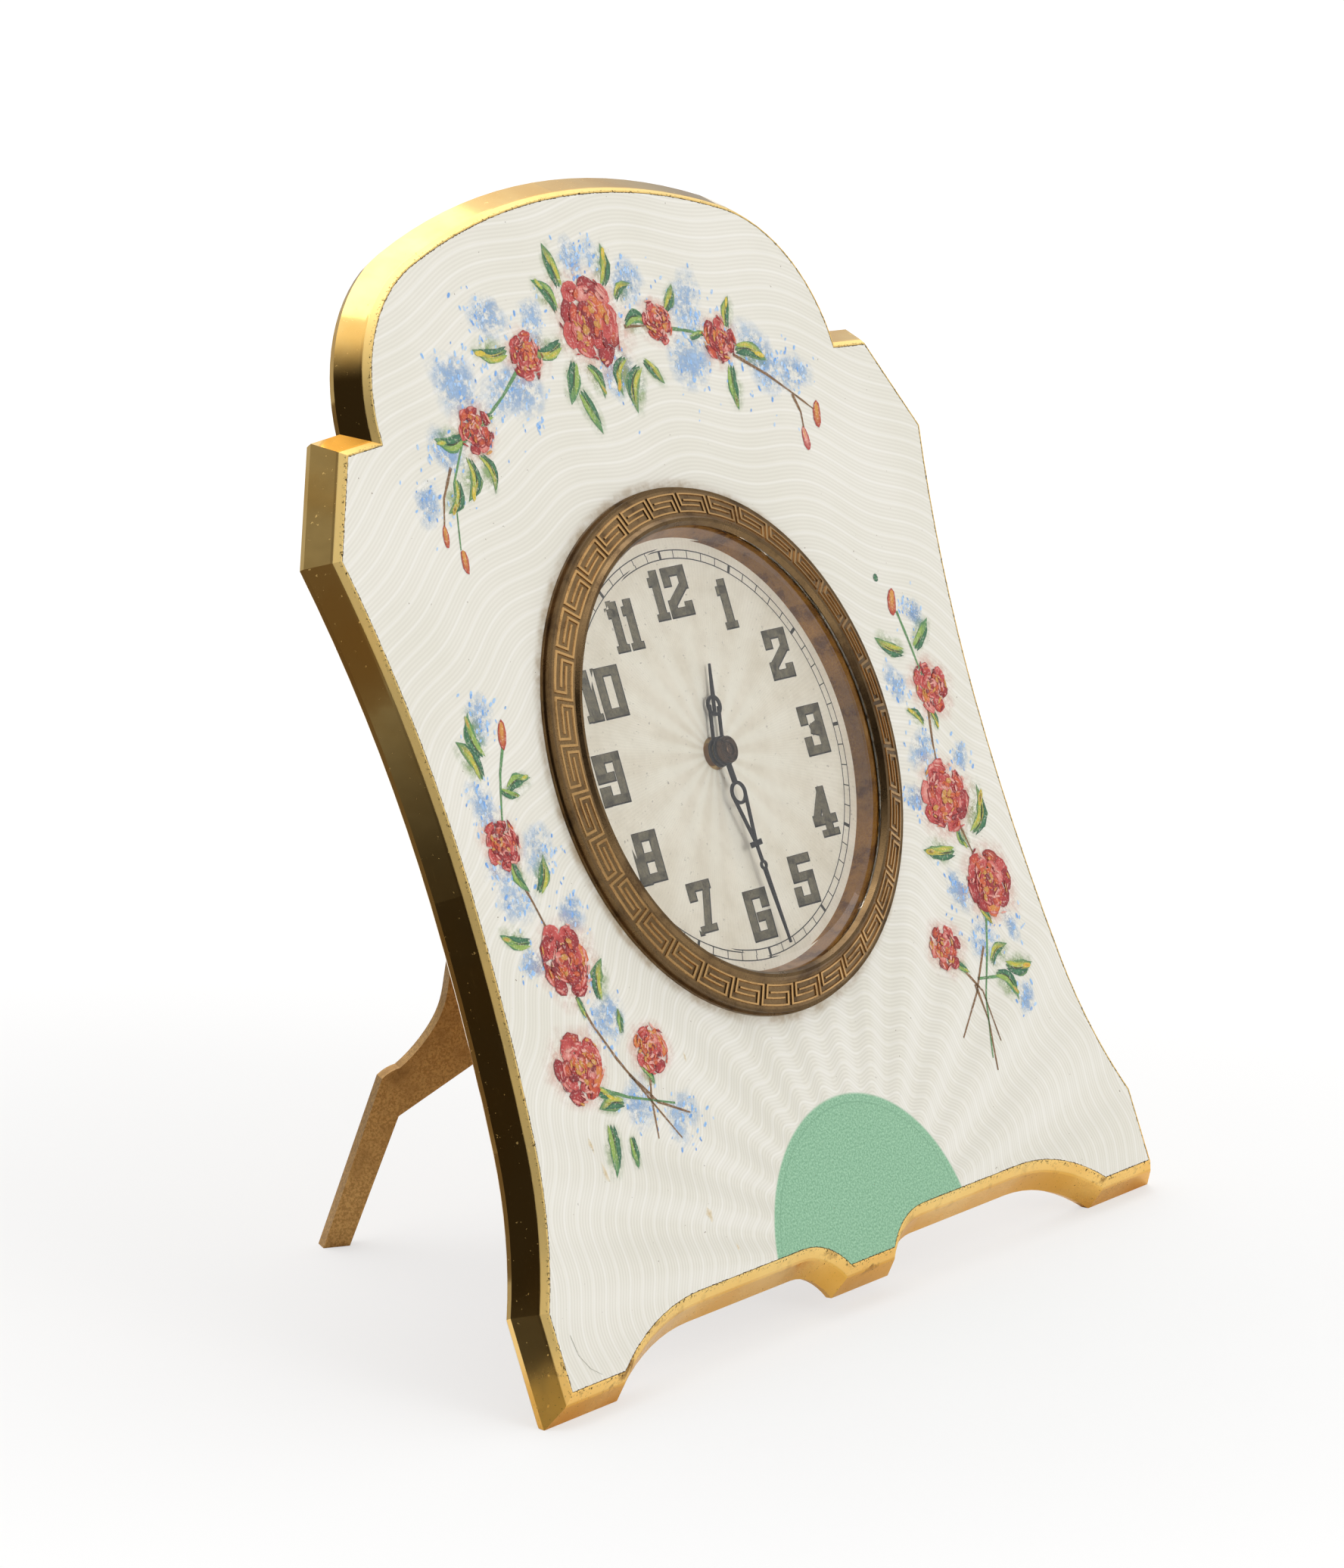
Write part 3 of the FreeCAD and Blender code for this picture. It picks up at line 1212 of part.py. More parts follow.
def make_back_cover():
    body = turned("back_cover", [
        ("0", "-cover_drop"),
        ("can_radius - cover_edge_rounding", "-cover_drop"),
        ("can_radius", "-cover_drop + cover_edge_rounding"),
        ("can_radius", "-cover_drop + cover_thickness"),
        ("can_bore_radius - fit_gap", "-cover_drop + cover_thickness"),
        ("can_bore_radius - fit_gap", "-cover_drop + cover_thickness + cover_rim_depth"),
        ("can_bore_radius - fit_gap - cover_rim_wall", "-cover_drop + cover_thickness + cover_rim_depth"),
        ("can_bore_radius - fit_gap - cover_rim_wall", "-cover_drop + cover_thickness"),
        ("0", "-cover_drop + cover_thickness")])
    across = "barrel_reach * cos(barrel_bearing * 1 deg)"
    up = "barrel_reach * sin(barrel_bearing * 1 deg)"
    pocket(body, "key_and_knob_holes", [
        ("0", "0", "centre_arbor_radius + shake_gap"),
        (across, up, "barrel_arbor_radius + shake_gap")], "cover_drop * 3")
    return body


def make_winding_key():
    """Winding key: a pipe on the arbor's square with two flat wings."""
    spot = train_places()["barrel"]
    front = key_front()
    wing_front = front + dim.key_pipe_length
    wing_back = wing_front + dim.key_wing_height
    reach = dim.key_wing_reach - dim.key_wing_height / 2
    pipe = cylinder(dim.key_pipe_radius, front, wing_front + dim.key_wing_height / 2, spot)
    side = Vector(0, dim.key_wing_thickness / 2, 0)
    wings = []
    for sign in (-1, 1):
        middle = Vector(spot.x + sign * reach, spot.y, -(wing_front + dim.key_wing_height / 2))
        wing = Part.makeCylinder(dim.key_wing_height / 2, dim.key_wing_thickness, middle - side, Vector(0, 1, 0))
        wings.append(wing)
        wings.append(Part.makeBox(reach, dim.key_wing_thickness, dim.key_wing_height * 0.7,
                                  Vector(min(spot.x, middle.x), spot.y - dim.key_wing_thickness / 2,
                                         middle.z - dim.key_wing_height * 0.35)))
    shape = pipe.fuse(wings)
    half = Vector(key_square_side() / 2, 0, 0)
    square = bar(spot - half, spot + half, key_square_side(), front - dim.overrun, wing_front)
    return feature("winding_key", shape.cut(square))


def make_setting_knob():
    """Knurled knob on the centre arbor's back end, which sets the hands."""
    front = dim.cover_drop + dim.knob_clearance
    shape = cylinder(dim.knob_radius, front, front + dim.knob_length)
    count = int(dim.knob_grooves)
    grooves = [cylinder(dim.knob_groove_radius, front - dim.overrun, front + dim.knob_length + dim.overrun,
                        heading(360.0 / count * index, dim.knob_radius)) for index in range(count)]
    return feature("setting_knob", shape.cut(grooves))


# The hinge and the strut, drawn along the hinge line: X away from it, Y along it
# and Z through the plate, then turned into the clock's frame.


def hinge_drop():
    return dim.cover_drop + dim.bracket_thickness + dim.hinge_barrel_radius + dim.shake_gap


def hinge_frame(opening):
    """Placement of the hinge line with the strut opened by an angle."""
    line = Rotation(Vector(0, 0, 1), dim.hinge_angle)
    swing = Rotation(Vector(0, 1, 0), 180 - opening)
    return Placement(place(dim.hinge_across, 0, hinge_drop()), line * swing)


def hinge_span():
    """Ends of the hinge and of the strut's own knuckle, along the hinge line."""
    top = dim.hinge_rise
    bottom = top - dim.hinge_length
    side = dim.hinge_length * (1 - dim.knuckle_share) / 2
    return bottom, bottom + side, top - side, top


def knuckle(radius, low, high):
    return Part.makeCylinder(radius, high - low, Vector(0, low, 0), Vector(0, 1, 0))


# Upper and lower edge of the strut's arm, as shares of the knee's reach and of
# the hinge's length, and its leg, as shares of the foot's reach.
ARM_TOP_SHARES = ((0.42, 0.09), (0.58, 0.05), (0.68, -0.13), (0.76, -0.38), (0.84, -0.5), (0.93, -0.55))
KNEE_TOP_SHARES = (0.98, -0.53)
KNEE_LOW_SHARES = (1.0, -0.85)
ARM_LOW_SHARES = ((0.55, -0.93), (0.8, -0.89))
FOOT_TOP_SHARES = (1.0, -1.36)
FOOT_LOW_SHARES = (0.955, -1.46)


def strut_outline():
    """Closed outline of the strut in the hinge's frame."""
    bottom, low, high, top = hinge_span()

    def arm(shares):
        return Vector(dim.strut_knee_reach * shares[0], dim.hinge_length * shares[1], 0)

    def foot(shares):
        return Vector(dim.strut_foot_reach * shares[0], dim.hinge_length * shares[1], 0)

    root_top = Vector(dim.strut_root_reach, top, 0)
    root_low = Vector(dim.strut_root_reach, bottom, 0)
    upper = Part.BSplineCurve()
    upper.interpolate([root_top] + [arm(shares) for shares in ARM_TOP_SHARES])
    knee_top = arm(KNEE_TOP_SHARES)
    bend_top = Part.Arc(arm(ARM_TOP_SHARES[-1]), (arm(ARM_TOP_SHARES[-1]) + knee_top) * 0.5
                        + Vector(0, dim.strut_thickness * 0.08, 0), knee_top)
    lower = Part.BSplineCurve()
    lower.interpolate([arm(KNEE_LOW_SHARES)] + [arm(shares) for shares in reversed(ARM_LOW_SHARES)] + [root_low])
    edges = [upper.toShape(), bend_top.toShape(), Part.makeLine(knee_top, foot(FOOT_TOP_SHARES)),
             Part.makeLine(foot(FOOT_TOP_SHARES), foot(FOOT_LOW_SHARES)),
             Part.makeLine(foot(FOOT_LOW_SHARES), arm(KNEE_LOW_SHARES)),
             lower.toShape(), Part.makeLine(root_low, root_top)]
    return Part.Wire(edges)


def make_strut():
    """The strut: a swan-necked plate with one knuckle, its foot cut to the table."""
    bottom, low, high, top = hinge_span()
    half = dim.strut_thickness / 2
    plate = Part.Face(strut_outline()).extrude(Vector(0, 0, dim.strut_thickness))
    plate.translate(Vector(0, 0, -half))
    inner_low = low + dim.shake_gap
    inner_high = high - dim.shake_gap
    tongue = Part.makeBox(dim.strut_root_reach + half, inner_high - inner_low, dim.strut_thickness,
                          Vector(0, inner_low, -half))
    shape = plate.fuse([tongue, knuckle(dim.hinge_barrel_radius, inner_low, inner_high)])
    shape = shape.cut(knuckle(dim.hinge_pin_radius + dim.running_gap, bottom - dim.overrun, top + dim.overrun))
    shape = shape.transformed(hinge_frame(dim.opening_angle).toMatrix())
    return feature("strut", shape.cut(below_table()))


def make_strut_bracket():
    """Hinge plate on the cover with the two outer knuckles."""
    bottom, low, high, top = hinge_span()
    radius = dim.hinge_barrel_radius
    wall = radius + dim.shake_gap + dim.bracket_thickness
    base = Part.makeBox(dim.bracket_reach + radius, top - bottom, dim.bracket_thickness,
                        Vector(-dim.bracket_reach, bottom, -wall))
    pieces = [base]
    for start, end in ((bottom, low), (high, top)):
        pieces.append(knuckle(radius, start, end))
        pieces.append(Part.makeBox(radius, end - start, wall - dim.bracket_thickness / 2,
                                   Vector(-radius, start, -wall + dim.bracket_thickness / 2)))
    shape = pieces[0].fuse(pieces[1:])
    shape = shape.cut(knuckle(dim.hinge_pin_radius, bottom - dim.overrun, top + dim.overrun))
    return feature("strut_bracket", shape.transformed(bracket_frame().toMatrix()))


def bracket_frame():
    """The hinge line with Z pointing back from the cover and X to the strut's side."""
    line = Rotation(Vector(0, 0, 1), dim.hinge_angle)
    swing = Rotation(Vector(0, 1, 0), 180)
    return Placement(place(dim.hinge_across, 0, hinge_drop()), line * swing)


def make_hinge_pin():
    bottom, low, high, top = hinge_span()
    shape = knuckle(dim.hinge_pin_radius, bottom, top)
    return feature("hinge_pin", shape.transformed(bracket_frame().toMatrix()))


def build():
    """Every sub-part, in the order in which the clock would be put together."""
    pinion_gap = dim.shake_gap * 2
    return [
        make_case_frame(), make_enamel_panel(), make_back_plate(), make_back_screws(),
        make_bezel(), make_crystal(), make_reflector_ring(), make_dial(), make_dial_spacer(),
        make_hour_hand(), make_minute_hand(), make_hand_nut(),
        make_cannon_pinion(), make_minute_wheel(), make_hour_wheel(),
        make_main_plate(), make_pillars(), make_top_plate(), make_pillar_screws(),
        make_barrel(), make_mainspring(), make_barrel_arbor(), make_ratchet_wheel(),
        make_click(), make_click_screw(), make_centre_wheel(), make_centre_arbor(),
        make_train_wheel("third", "third_teeth", "third_wheel_radius", "third_wheel_drop",
                         dim.centre_wheel_drop - pinion_gap, "centre", "fourth"),
        make_train_wheel("fourth", "fourth_teeth", "fourth_wheel_radius", "fourth_wheel_drop",
                         dim.third_wheel_drop - pinion_gap, "third", "escape"),
        make_escape_wheel(), make_pallet_lever(), make_balance_wheel(), make_hairspring(),
        make_balance_cock(), make_cock_screw(),
        make_movement_can(), make_back_cover(), make_winding_key(), make_setting_knob(),
        make_strut_bracket(), make_hinge_pin(), make_strut()]


def stand_up(items):
    """Lean the clock back, set it on the table and centre its footprint."""
    tilt = Rotation(Vector(1, 0, 0), 90 - dim.lean_angle)
    leaned = Placement(Vector(0, 0, STANDING), tilt)
    for item in items:
        item.Placement = leaned
    doc.recompute()
    box = items[0].Shape.optimalBoundingBox()
    for item in items[1:]:
        box.add(item.Shape.optimalBoundingBox())
    leaned.Base = leaned.Base - Vector(box.Center.x, box.Center.y, 0)
    for item in items:
        item.Placement = leaned
    doc.recompute()
    return leaned


def export(items):
    for item in doc.Objects:
        assert "Invalid" not in item.State and "Error" not in item.State, item.Name
    for item in items:
        assert not item.Shape.isNull() and item.Shape.isValid(), item.Label
        assert item.Shape.Solids, item.Label
    os.makedirs("parts", exist_ok=True)
    for item in items:
        item.Shape.exportStep(f"parts/{item.Label}.step")


pieces = build()
leaning = stand_up(pieces)
export(pieces)
for piece in pieces:
    print(piece.Label, len(piece.Shape.Solids), "solids", round(piece.Shape.Volume, 2), "mm3")
print("centre of the dial stands at", leaning.Base)
for name, spot in train_places().items():
    print("arbor", name, leaning.multVec(spot))
print("hinge line through", leaning.multVec(place(dim.hinge_across, 0, hinge_drop())))
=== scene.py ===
# %% [markdown]
# # A pendulette clock in Blender
#
# The clock arrives as a set of CAD nodes, already at their true sizes. This notebook
# adds what CAD leaves out: the painted garlands on the enamel, the Greek key on the
# bezel, the printing of the dial, the ridges on the cap of the hands, the grime where
# enamel meets gilt, and a procedural material for every surface. The first cell loads
# the frame and keeps its box.

# %% Load the clock
import math
import random

import bpy
from mathutils import Matrix, Vector


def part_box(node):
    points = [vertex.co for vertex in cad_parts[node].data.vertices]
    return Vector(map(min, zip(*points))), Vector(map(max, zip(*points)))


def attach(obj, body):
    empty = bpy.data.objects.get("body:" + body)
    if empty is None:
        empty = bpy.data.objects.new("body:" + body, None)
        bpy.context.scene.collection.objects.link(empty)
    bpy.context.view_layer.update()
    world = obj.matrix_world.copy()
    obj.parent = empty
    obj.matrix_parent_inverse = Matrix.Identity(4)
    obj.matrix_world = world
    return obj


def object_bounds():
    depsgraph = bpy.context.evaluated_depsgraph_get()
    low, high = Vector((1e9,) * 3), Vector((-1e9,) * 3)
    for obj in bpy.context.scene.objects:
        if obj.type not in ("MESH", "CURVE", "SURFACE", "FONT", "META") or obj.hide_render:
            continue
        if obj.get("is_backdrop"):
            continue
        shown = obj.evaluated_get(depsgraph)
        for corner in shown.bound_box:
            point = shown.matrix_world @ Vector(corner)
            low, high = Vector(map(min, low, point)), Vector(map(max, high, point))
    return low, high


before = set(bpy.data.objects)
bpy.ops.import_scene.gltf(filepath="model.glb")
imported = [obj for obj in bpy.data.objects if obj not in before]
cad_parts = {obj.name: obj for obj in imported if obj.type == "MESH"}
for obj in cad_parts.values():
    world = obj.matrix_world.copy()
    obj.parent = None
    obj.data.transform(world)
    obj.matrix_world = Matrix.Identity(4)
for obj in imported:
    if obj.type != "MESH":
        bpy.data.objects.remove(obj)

CAD_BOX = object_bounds()

print("CAD nodes:", len(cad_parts), "box:", CAD_BOX)

# %% [markdown]
# ## The plane of the front
#
# Everything on the front is easiest to draw flat. The front leans back by a known
# angle, and the middle of the dial plate lies a known depth behind the enamel, so the
# dial's own box gives the centre. A point is then `across`, `up` and `out`, in
# millimetres, exactly as a designer would dimension it.

# %% The plane of the front
MM = 0.001
LEAN = math.radians(20.8)
DIAL_MIDDLE_DEPTH = 1.48
DIAL_FACE = -1.28
DIAL_TURN = 1.5

ACROSS = Vector((1, 0, 0))
UP = Vector((0, math.sin(LEAN), math.cos(LEAN)))
OUT = Vector((0, -math.cos(LEAN), math.sin(LEAN)))

dial_low, dial_high = (Vector(corner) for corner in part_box("dial"))
CENTRE = (dial_low + dial_high) / 2 + OUT * (DIAL_MIDDLE_DEPTH * MM)


def on_front(across, up, out):
    """A point of the front, from millimetres, in the row frame."""
    return CENTRE + (ACROSS * across + UP * up + OUT * out) * MM


def polar(angle, radius, out):
    """A point round the dial's centre; the angle runs anticlockwise from the right."""
    turn = math.radians(angle)
    return on_front(radius * math.cos(turn), radius * math.sin(turn), out)


def linear(red, green, blue):
    """A colour given as seen on a screen, from 0 to 255, as linear light."""
    def channel(value):
        """One of the three parts of a colour."""
        value /= 255
        return value / 12.92 if value <= 0.04045 else ((value + 0.055) / 1.055) ** 2.4
    return channel(red), channel(green), channel(blue), 1.0


print("centre of the dial:", tuple(round(value, 4) for value in CENTRE))

# %% [markdown]
# ## Small tools for shader trees
#
# A shader tree is only a graph, and it could be clicked together in the editor. Written
# down it can be read and run again, and a tiny helper keeps it short: a value can be a
# number or the output of another node, and `feed` does the right thing.

# %% Small tools for shader trees
class Graph:
    """Adds nodes to a tree."""

    def __init__(self, tree):
        self.tree = tree

    def feed(self, socket, value):
        """Link a socket to the output of another node, or give it a plain value."""
        if isinstance(value, bpy.types.NodeSocket):
            self.tree.links.new(value, socket)
        else:
            socket.default_value = value

    def add(self, kind, inputs=(), **settings):
        """A new node of a kind, with its inputs fed and its settings made."""
        made = self.tree.nodes.new("ShaderNode" + kind)
        for name, value in settings.items():
            setattr(made, name, value)
        for key, value in dict(inputs).items():
            self.feed(made.inputs[key], value)
        return made

    def math(self, operation, *values):
        """A number worked out from others."""
        made = self.add("Math", operation=operation)
        for socket, value in zip(made.inputs, values):
            self.feed(socket, value)
        return made.outputs[0]

    def mix(self, factor, first, second):
        """Two colours mixed; a factor of one gives the second."""
        made = self.add("Mix", {0: factor, 6: first, 7: second}, data_type="RGBA")
        return made.outputs[2]

    def ease(self, value, low, high, start=0.0, end=1.0):
        """A soft step from start to end while value goes from low to high."""
        made = self.add("MapRange", {"Value": value, "From Min": low, "From Max": high,
                                     "To Min": start, "To Max": end})
        made.interpolation_type = "SMOOTHSTEP"
        return made.outputs[0]

    def noise(self, place, scale, detail=2.0, roughness=0.5):
        """Cloudy values from 0 to 1; a larger scale gives smaller clouds."""
        made = self.add("TexNoise", {"Vector": place, "Scale": scale, "Detail": detail,
                                     "Roughness": roughness})
        return made.outputs[0]

    def bump(self, height, strength, distance):
        """A normal that makes a flat surface look as if it had this height."""
        made = self.add("Bump", {"Height": height, "Strength": strength, "Distance": distance})
        return made.outputs[0]

    def measure(self, operation, *vectors):
        """A number taken from vectors, such as a length or a dot product."""
        made = self.add("VectorMath", dict(enumerate(vectors)), operation=operation)
        return made.outputs["Value"]

    def span(self, x, y):
        """Distance from the middle of a flat drawing."""
        squares = self.math("ADD", self.math("MULTIPLY", x, x), self.math("MULTIPLY", y, y))
        return self.math("SQRT", squares)


def shared(name, inputs, outputs):
    """A node group, its graph, its incoming values and its outgoing sockets."""
    group = bpy.data.node_groups.new(name, "ShaderNodeTree")
    for label, kind in inputs:
        group.interface.new_socket(name=label, in_out="INPUT", socket_type="NodeSocket" + kind)
    for label, kind in outputs:
        group.interface.new_socket(name=label, in_out="OUTPUT", socket_type="NodeSocket" + kind)
    source = group.nodes.new("NodeGroupInput")
    sink = group.nodes.new("NodeGroupOutput")
    return group, Graph(group), source.outputs, sink.inputs


def surface(name):
    """A material with one principled shader."""
    made = bpy.data.materials.new(name)
    made.use_nodes = True
    made.node_tree.nodes.clear()
    graph = Graph(made.node_tree)
    shader = graph.add("BsdfPrincipled")
    end = graph.add("OutputMaterial")
    graph.feed(end.inputs["Surface"], shader.outputs[0])
    return made, graph, shader


print("shader helpers:", [name for name in vars(Graph) if not name.startswith("_")])

# %% [markdown]
# ## Shared effects
#
# Two node groups do most of the work. `front_place` turns the object's coordinates
# into the front's own millimetres, so that patterns can be written as drawing-board
# formulas. `aged_metal` gives patchy tarnish, freckles, an uneven polish and a fine
# grain.

# %% Shared effects
GRAIN_SHARE = 0.35
GRAIN_DEPTH = 0.02
WORN_RANGE = (0.72, 0.98)


def make_front_place():
    """The group that turns object coordinates into the front's millimetres."""
    group, graph, _, sink = shared("front_place", (), (("Place", "Vector"),))
    spot = graph.add("TexCoord").outputs["Object"]
    tilt = -(math.pi / 2 - LEAN)
    shift = Matrix.Rotation(tilt, 3, "X") @ CENTRE / MM
    mapping = graph.add("Mapping", {"Vector": spot, "Location": -shift,
                                    "Rotation": (tilt, 0, 0), "Scale": (1 / MM,) * 3})
    graph.feed(sink["Place"], mapping.outputs[0])
    return group


def make_aged_metal():
    """The group that gives a metal its tarnish, freckles, polish and grain."""
    inputs = (("Bright", "Color"), ("Dull", "Color"), ("Tarnish", "Float"), ("Patch", "Float"),
              ("Grain", "Float"), ("Smooth", "Float"), ("Rough", "Float"), ("Relief", "Float"),
              ("Speckle", "Float"))
    outputs = (("Colour", "Color"), ("Roughness", "Float"), ("Normal", "Vector"))
    group, graph, given, sink = shared("aged_metal", inputs, outputs)
    spot = graph.add("TexCoord").outputs["Object"]
    patches = graph.noise(spot, given["Patch"], 6.0, 0.62)
    grain = graph.noise(spot, given["Grain"], 3.0, 0.7)
    uneven = graph.math("MULTIPLY", graph.math("SUBTRACT", grain, 0.5), GRAIN_SHARE)
    amount = graph.math("ADD", patches, uneven)
    low, high = (graph.math("SUBTRACT", limit, given["Tarnish"]) for limit in WORN_RANGE)
    worn = graph.ease(amount, low, high)
    polish = graph.add("MapRange", {"Value": amount, "From Min": 0.3, "From Max": 0.75,
                                    "To Min": given["Smooth"], "To Max": given["Rough"]})
    freckle = graph.math("MULTIPLY", graph.ease(grain, 0.62, 0.38), given["Speckle"])
    worn = graph.math("MAXIMUM", worn, freckle)
    graph.feed(sink["Colour"], graph.mix(worn, given["Bright"], given["Dull"]))
    graph.feed(sink["Roughness"], polish.outputs[0])
    graph.feed(sink["Normal"], graph.bump(grain, given["Relief"], GRAIN_DEPTH * MM))
    return group


FRONT_PLACE = make_front_place()
AGED_METAL = make_aged_metal()


def place_of(graph):
    """The front's coordinates: across, up and out as three outputs, and the vector."""
    vector = graph.add("Group", node_tree=FRONT_PLACE).outputs[0]
    parts = graph.add("SeparateXYZ", {0: vector}).outputs
    return parts[0], parts[1], parts[2], vector


print("node groups:", [group.name for group in bpy.data.node_groups])

# %% [markdown]
# ## Metals
#
# One function covers every metal but the polished frame. The colours are reflectances:
# brass is yellow, aged gilt is brown and granular, steel is nearly grey. Each metal could
# be a recipe of its own, but they age in the same way and differ only in how much.

# %% Metals
def metal(name, bright, dull, tarnish=0.2, patch=260.0, grain=6000.0, smooth=0.2, rough=0.4,
          relief=0.15, speckle=0.15):
    """A metal from its bright and its dull colour; the other values say how it has aged."""
    made, graph, shader = surface(name)
    aged = graph.add("Group", node_tree=AGED_METAL)
    values = {"Bright": linear(*bright), "Dull": linear(*dull), "Tarnish": tarnish, "Patch": patch,
              "Grain": grain, "Smooth": smooth, "Rough": rough, "Relief": relief, "Speckle": speckle}
    for label, value in values.items():
        graph.feed(aged.inputs[label], value)
    shader.inputs["Metallic"].default_value = 1.0
    graph.feed(shader.inputs["Base Color"], aged.outputs["Colour"])
    graph.feed(shader.inputs["Roughness"], aged.outputs["Roughness"])
    graph.feed(shader.inputs["Normal"], aged.outputs["Normal"])
    return made


AGED_GILT = metal("aged_gilt", (208, 166, 104), (148, 110, 64), tarnish=0.2, grain=4200.0,
                  smooth=0.36, rough=0.54, relief=0.8, speckle=0.7)
STEEL = metal("steel", (190, 190, 192), (120, 114, 106), tarnish=0.15, smooth=0.16, rough=0.32)
SPRING_STEEL = metal("spring_steel", (150, 154, 164), (96, 92, 96), tarnish=0.2, smooth=0.2, rough=0.36)
MOVEMENT_BRASS = metal("movement_brass", (226, 190, 118), (176, 132, 70), tarnish=0.2,
                       grain=8000.0, smooth=0.3, rough=0.48, relief=0.25)
RING_BRASS = metal("ring_brass", (176, 124, 50), (112, 70, 24), tarnish=0.32, patch=420.0,
                   smooth=0.3, rough=0.5, relief=0.3, speckle=0.5)
BRONZE = metal("bronzed_brass", (136, 110, 76), (92, 72, 50), tarnish=0.3, patch=300.0,
               grain=7000.0, smooth=0.24, rough=0.42, relief=0.3, speckle=0.4)
BRONZE_RELIEF = metal("bronze_relief", (200, 160, 106), (146, 110, 68), tarnish=0.25, patch=400.0,
                      grain=7000.0, smooth=0.18, rough=0.36, relief=0.2)
BLUED_STEEL = metal("blued_steel", (46, 46, 52), (28, 24, 22), tarnish=0.2, patch=700.0,
                    smooth=0.25, rough=0.45)
CAP_METAL = metal("cap_metal", (92, 70, 54), (50, 38, 31), tarnish=0.25, patch=900.0,
                  smooth=0.24, rough=0.4)

print("metals:", [material.name for material in bpy.data.materials])

# %% [markdown]
# ## The gilt frame
#
# The frame is polished, so it mostly shows the room. A few things keep it from looking
# new: long thin scratches and pores, a duller and redder gilding along the lower edges
# that stand and slide on furniture, brown smudges there, and dark specks where the gilt
# meets the enamel. The narrow lip beside the enamel is rougher, and its paler colour is
# a painted highlight, so it stays bright whatever the room shows. Each mark is a mask,
# and the masks share one recipe.

# %% The gilt frame
LOWER_EDGE = (-42.5, -46.5)
LIP = (-0.6, -0.48)
NEAR_LIP = (-1.3, -0.4)
JOINT = (-0.26, -0.02)
SPECK_SCALE = 3800.0
PORE_SCALE = 2400.0
SCRATCH_SCALE = (9.0, 0.35, 9.0)
SCRATCH_TURN = 0.3
DENT_DEPTH = 0.06


def make_gilt():
    """Polished gilding with its wear and a painted highlight on the lip; each mask adds a colour, a roughness
    or both.
    """
    made, graph, shader = surface("gilt_brass")
    _, up, out, place = place_of(graph)
    spot = graph.add("TexCoord").outputs["Object"]
    handled = graph.noise(spot, 120.0, 5.0)
    low_edge = graph.ease(up, *LOWER_EDGE)
    worn = graph.math("MULTIPLY", low_edge, graph.ease(handled, 0.3, 0.6, 0.55, 1.0))
    lip = graph.ease(out, *LIP)
    specks = graph.noise(spot, SPECK_SCALE, 3.0, 0.75)
    joint = graph.math("MULTIPLY", graph.ease(out, *JOINT), graph.ease(specks, 0.55, 0.64))
    pits = graph.math("MULTIPLY", low_edge, graph.ease(specks, 0.64, 0.72))
    dirt = graph.math("MAXIMUM", joint, pits)
    near_lip = graph.math("MULTIPLY", low_edge, graph.ease(out, *NEAR_LIP))
    stain = graph.ease(graph.noise(spot, 420.0, 5.0, 0.65), 0.54, 0.66, 0.0, 0.7)

    colour = graph.mix(graph.ease(handled, 0.35, 0.7), linear(250, 212, 134), linear(236, 188, 104))
    colour = graph.mix(worn, colour, linear(230, 178, 84))
    # The lip's paler colour is a painted highlight.
    colour = graph.mix(graph.math("MULTIPLY", lip, 0.7), colour, linear(255, 226, 150))
    colour = graph.mix(graph.math("MULTIPLY", near_lip, stain), colour, linear(142, 96, 48))
    colour = graph.mix(dirt, colour, linear(58, 38, 20))

    streaks = graph.add("Mapping", {"Vector": place, "Scale": SCRATCH_SCALE,
                                    "Rotation": (0, 0, SCRATCH_TURN)})
    scratch = graph.ease(graph.noise(streaks.outputs[0], 1.0, 4.0, 0.7), 0.62, 0.72)
    pores = graph.ease(graph.noise(spot, PORE_SCALE, 2.0, 0.6), 0.68, 0.74)
    rough = graph.ease(handled, 0.35, 0.75, 0.07, 0.15)
    for mask, share in ((scratch, 0.12), (worn, 0.28), (dirt, 0.35), (lip, 0.4), (pores, 0.3)):
        rough = graph.math("MULTIPLY_ADD", mask, share, rough)

    shader.inputs["Metallic"].default_value = 1.0
    graph.feed(shader.inputs["Base Color"], colour)
    graph.feed(shader.inputs["Roughness"], rough)
    dents = graph.noise(spot, 240.0, 2.0)
    graph.feed(shader.inputs["Normal"], graph.bump(dents, 0.25, DENT_DEPTH * MM))
    return made


GILT = make_gilt()

print("gilding:", len(GILT.node_tree.nodes), "nodes")

# %% [markdown]
# ## Engine turning under the enamel
#
# A rose engine cuts wavy circles round one point, here the green half sun at the foot.
# In the drawing's terms a line is where `radius + swing * sin(lobes * angle)` is a
# multiple of the pitch, so a sine of that sum gives all of them at once. Cut into the
# mesh, the lines would need millions of faces. Every few lines a deeper cut shows
# paler, and close to the sun the waves read as rays.

# %% Engine turning under the enamel
SUN = (1.1, -46.0)
SUN_RADIUS = 14.2
LOBES = 27.0
FINE_PITCH = 0.36
PALE_PITCH = 1.62
PALE_SHARPNESS = 14.0
TWIST = 0.035
SWING = 0.42
SWING_GROWTH = 0.002
FOLD_FADE = (62.0, 14.0)


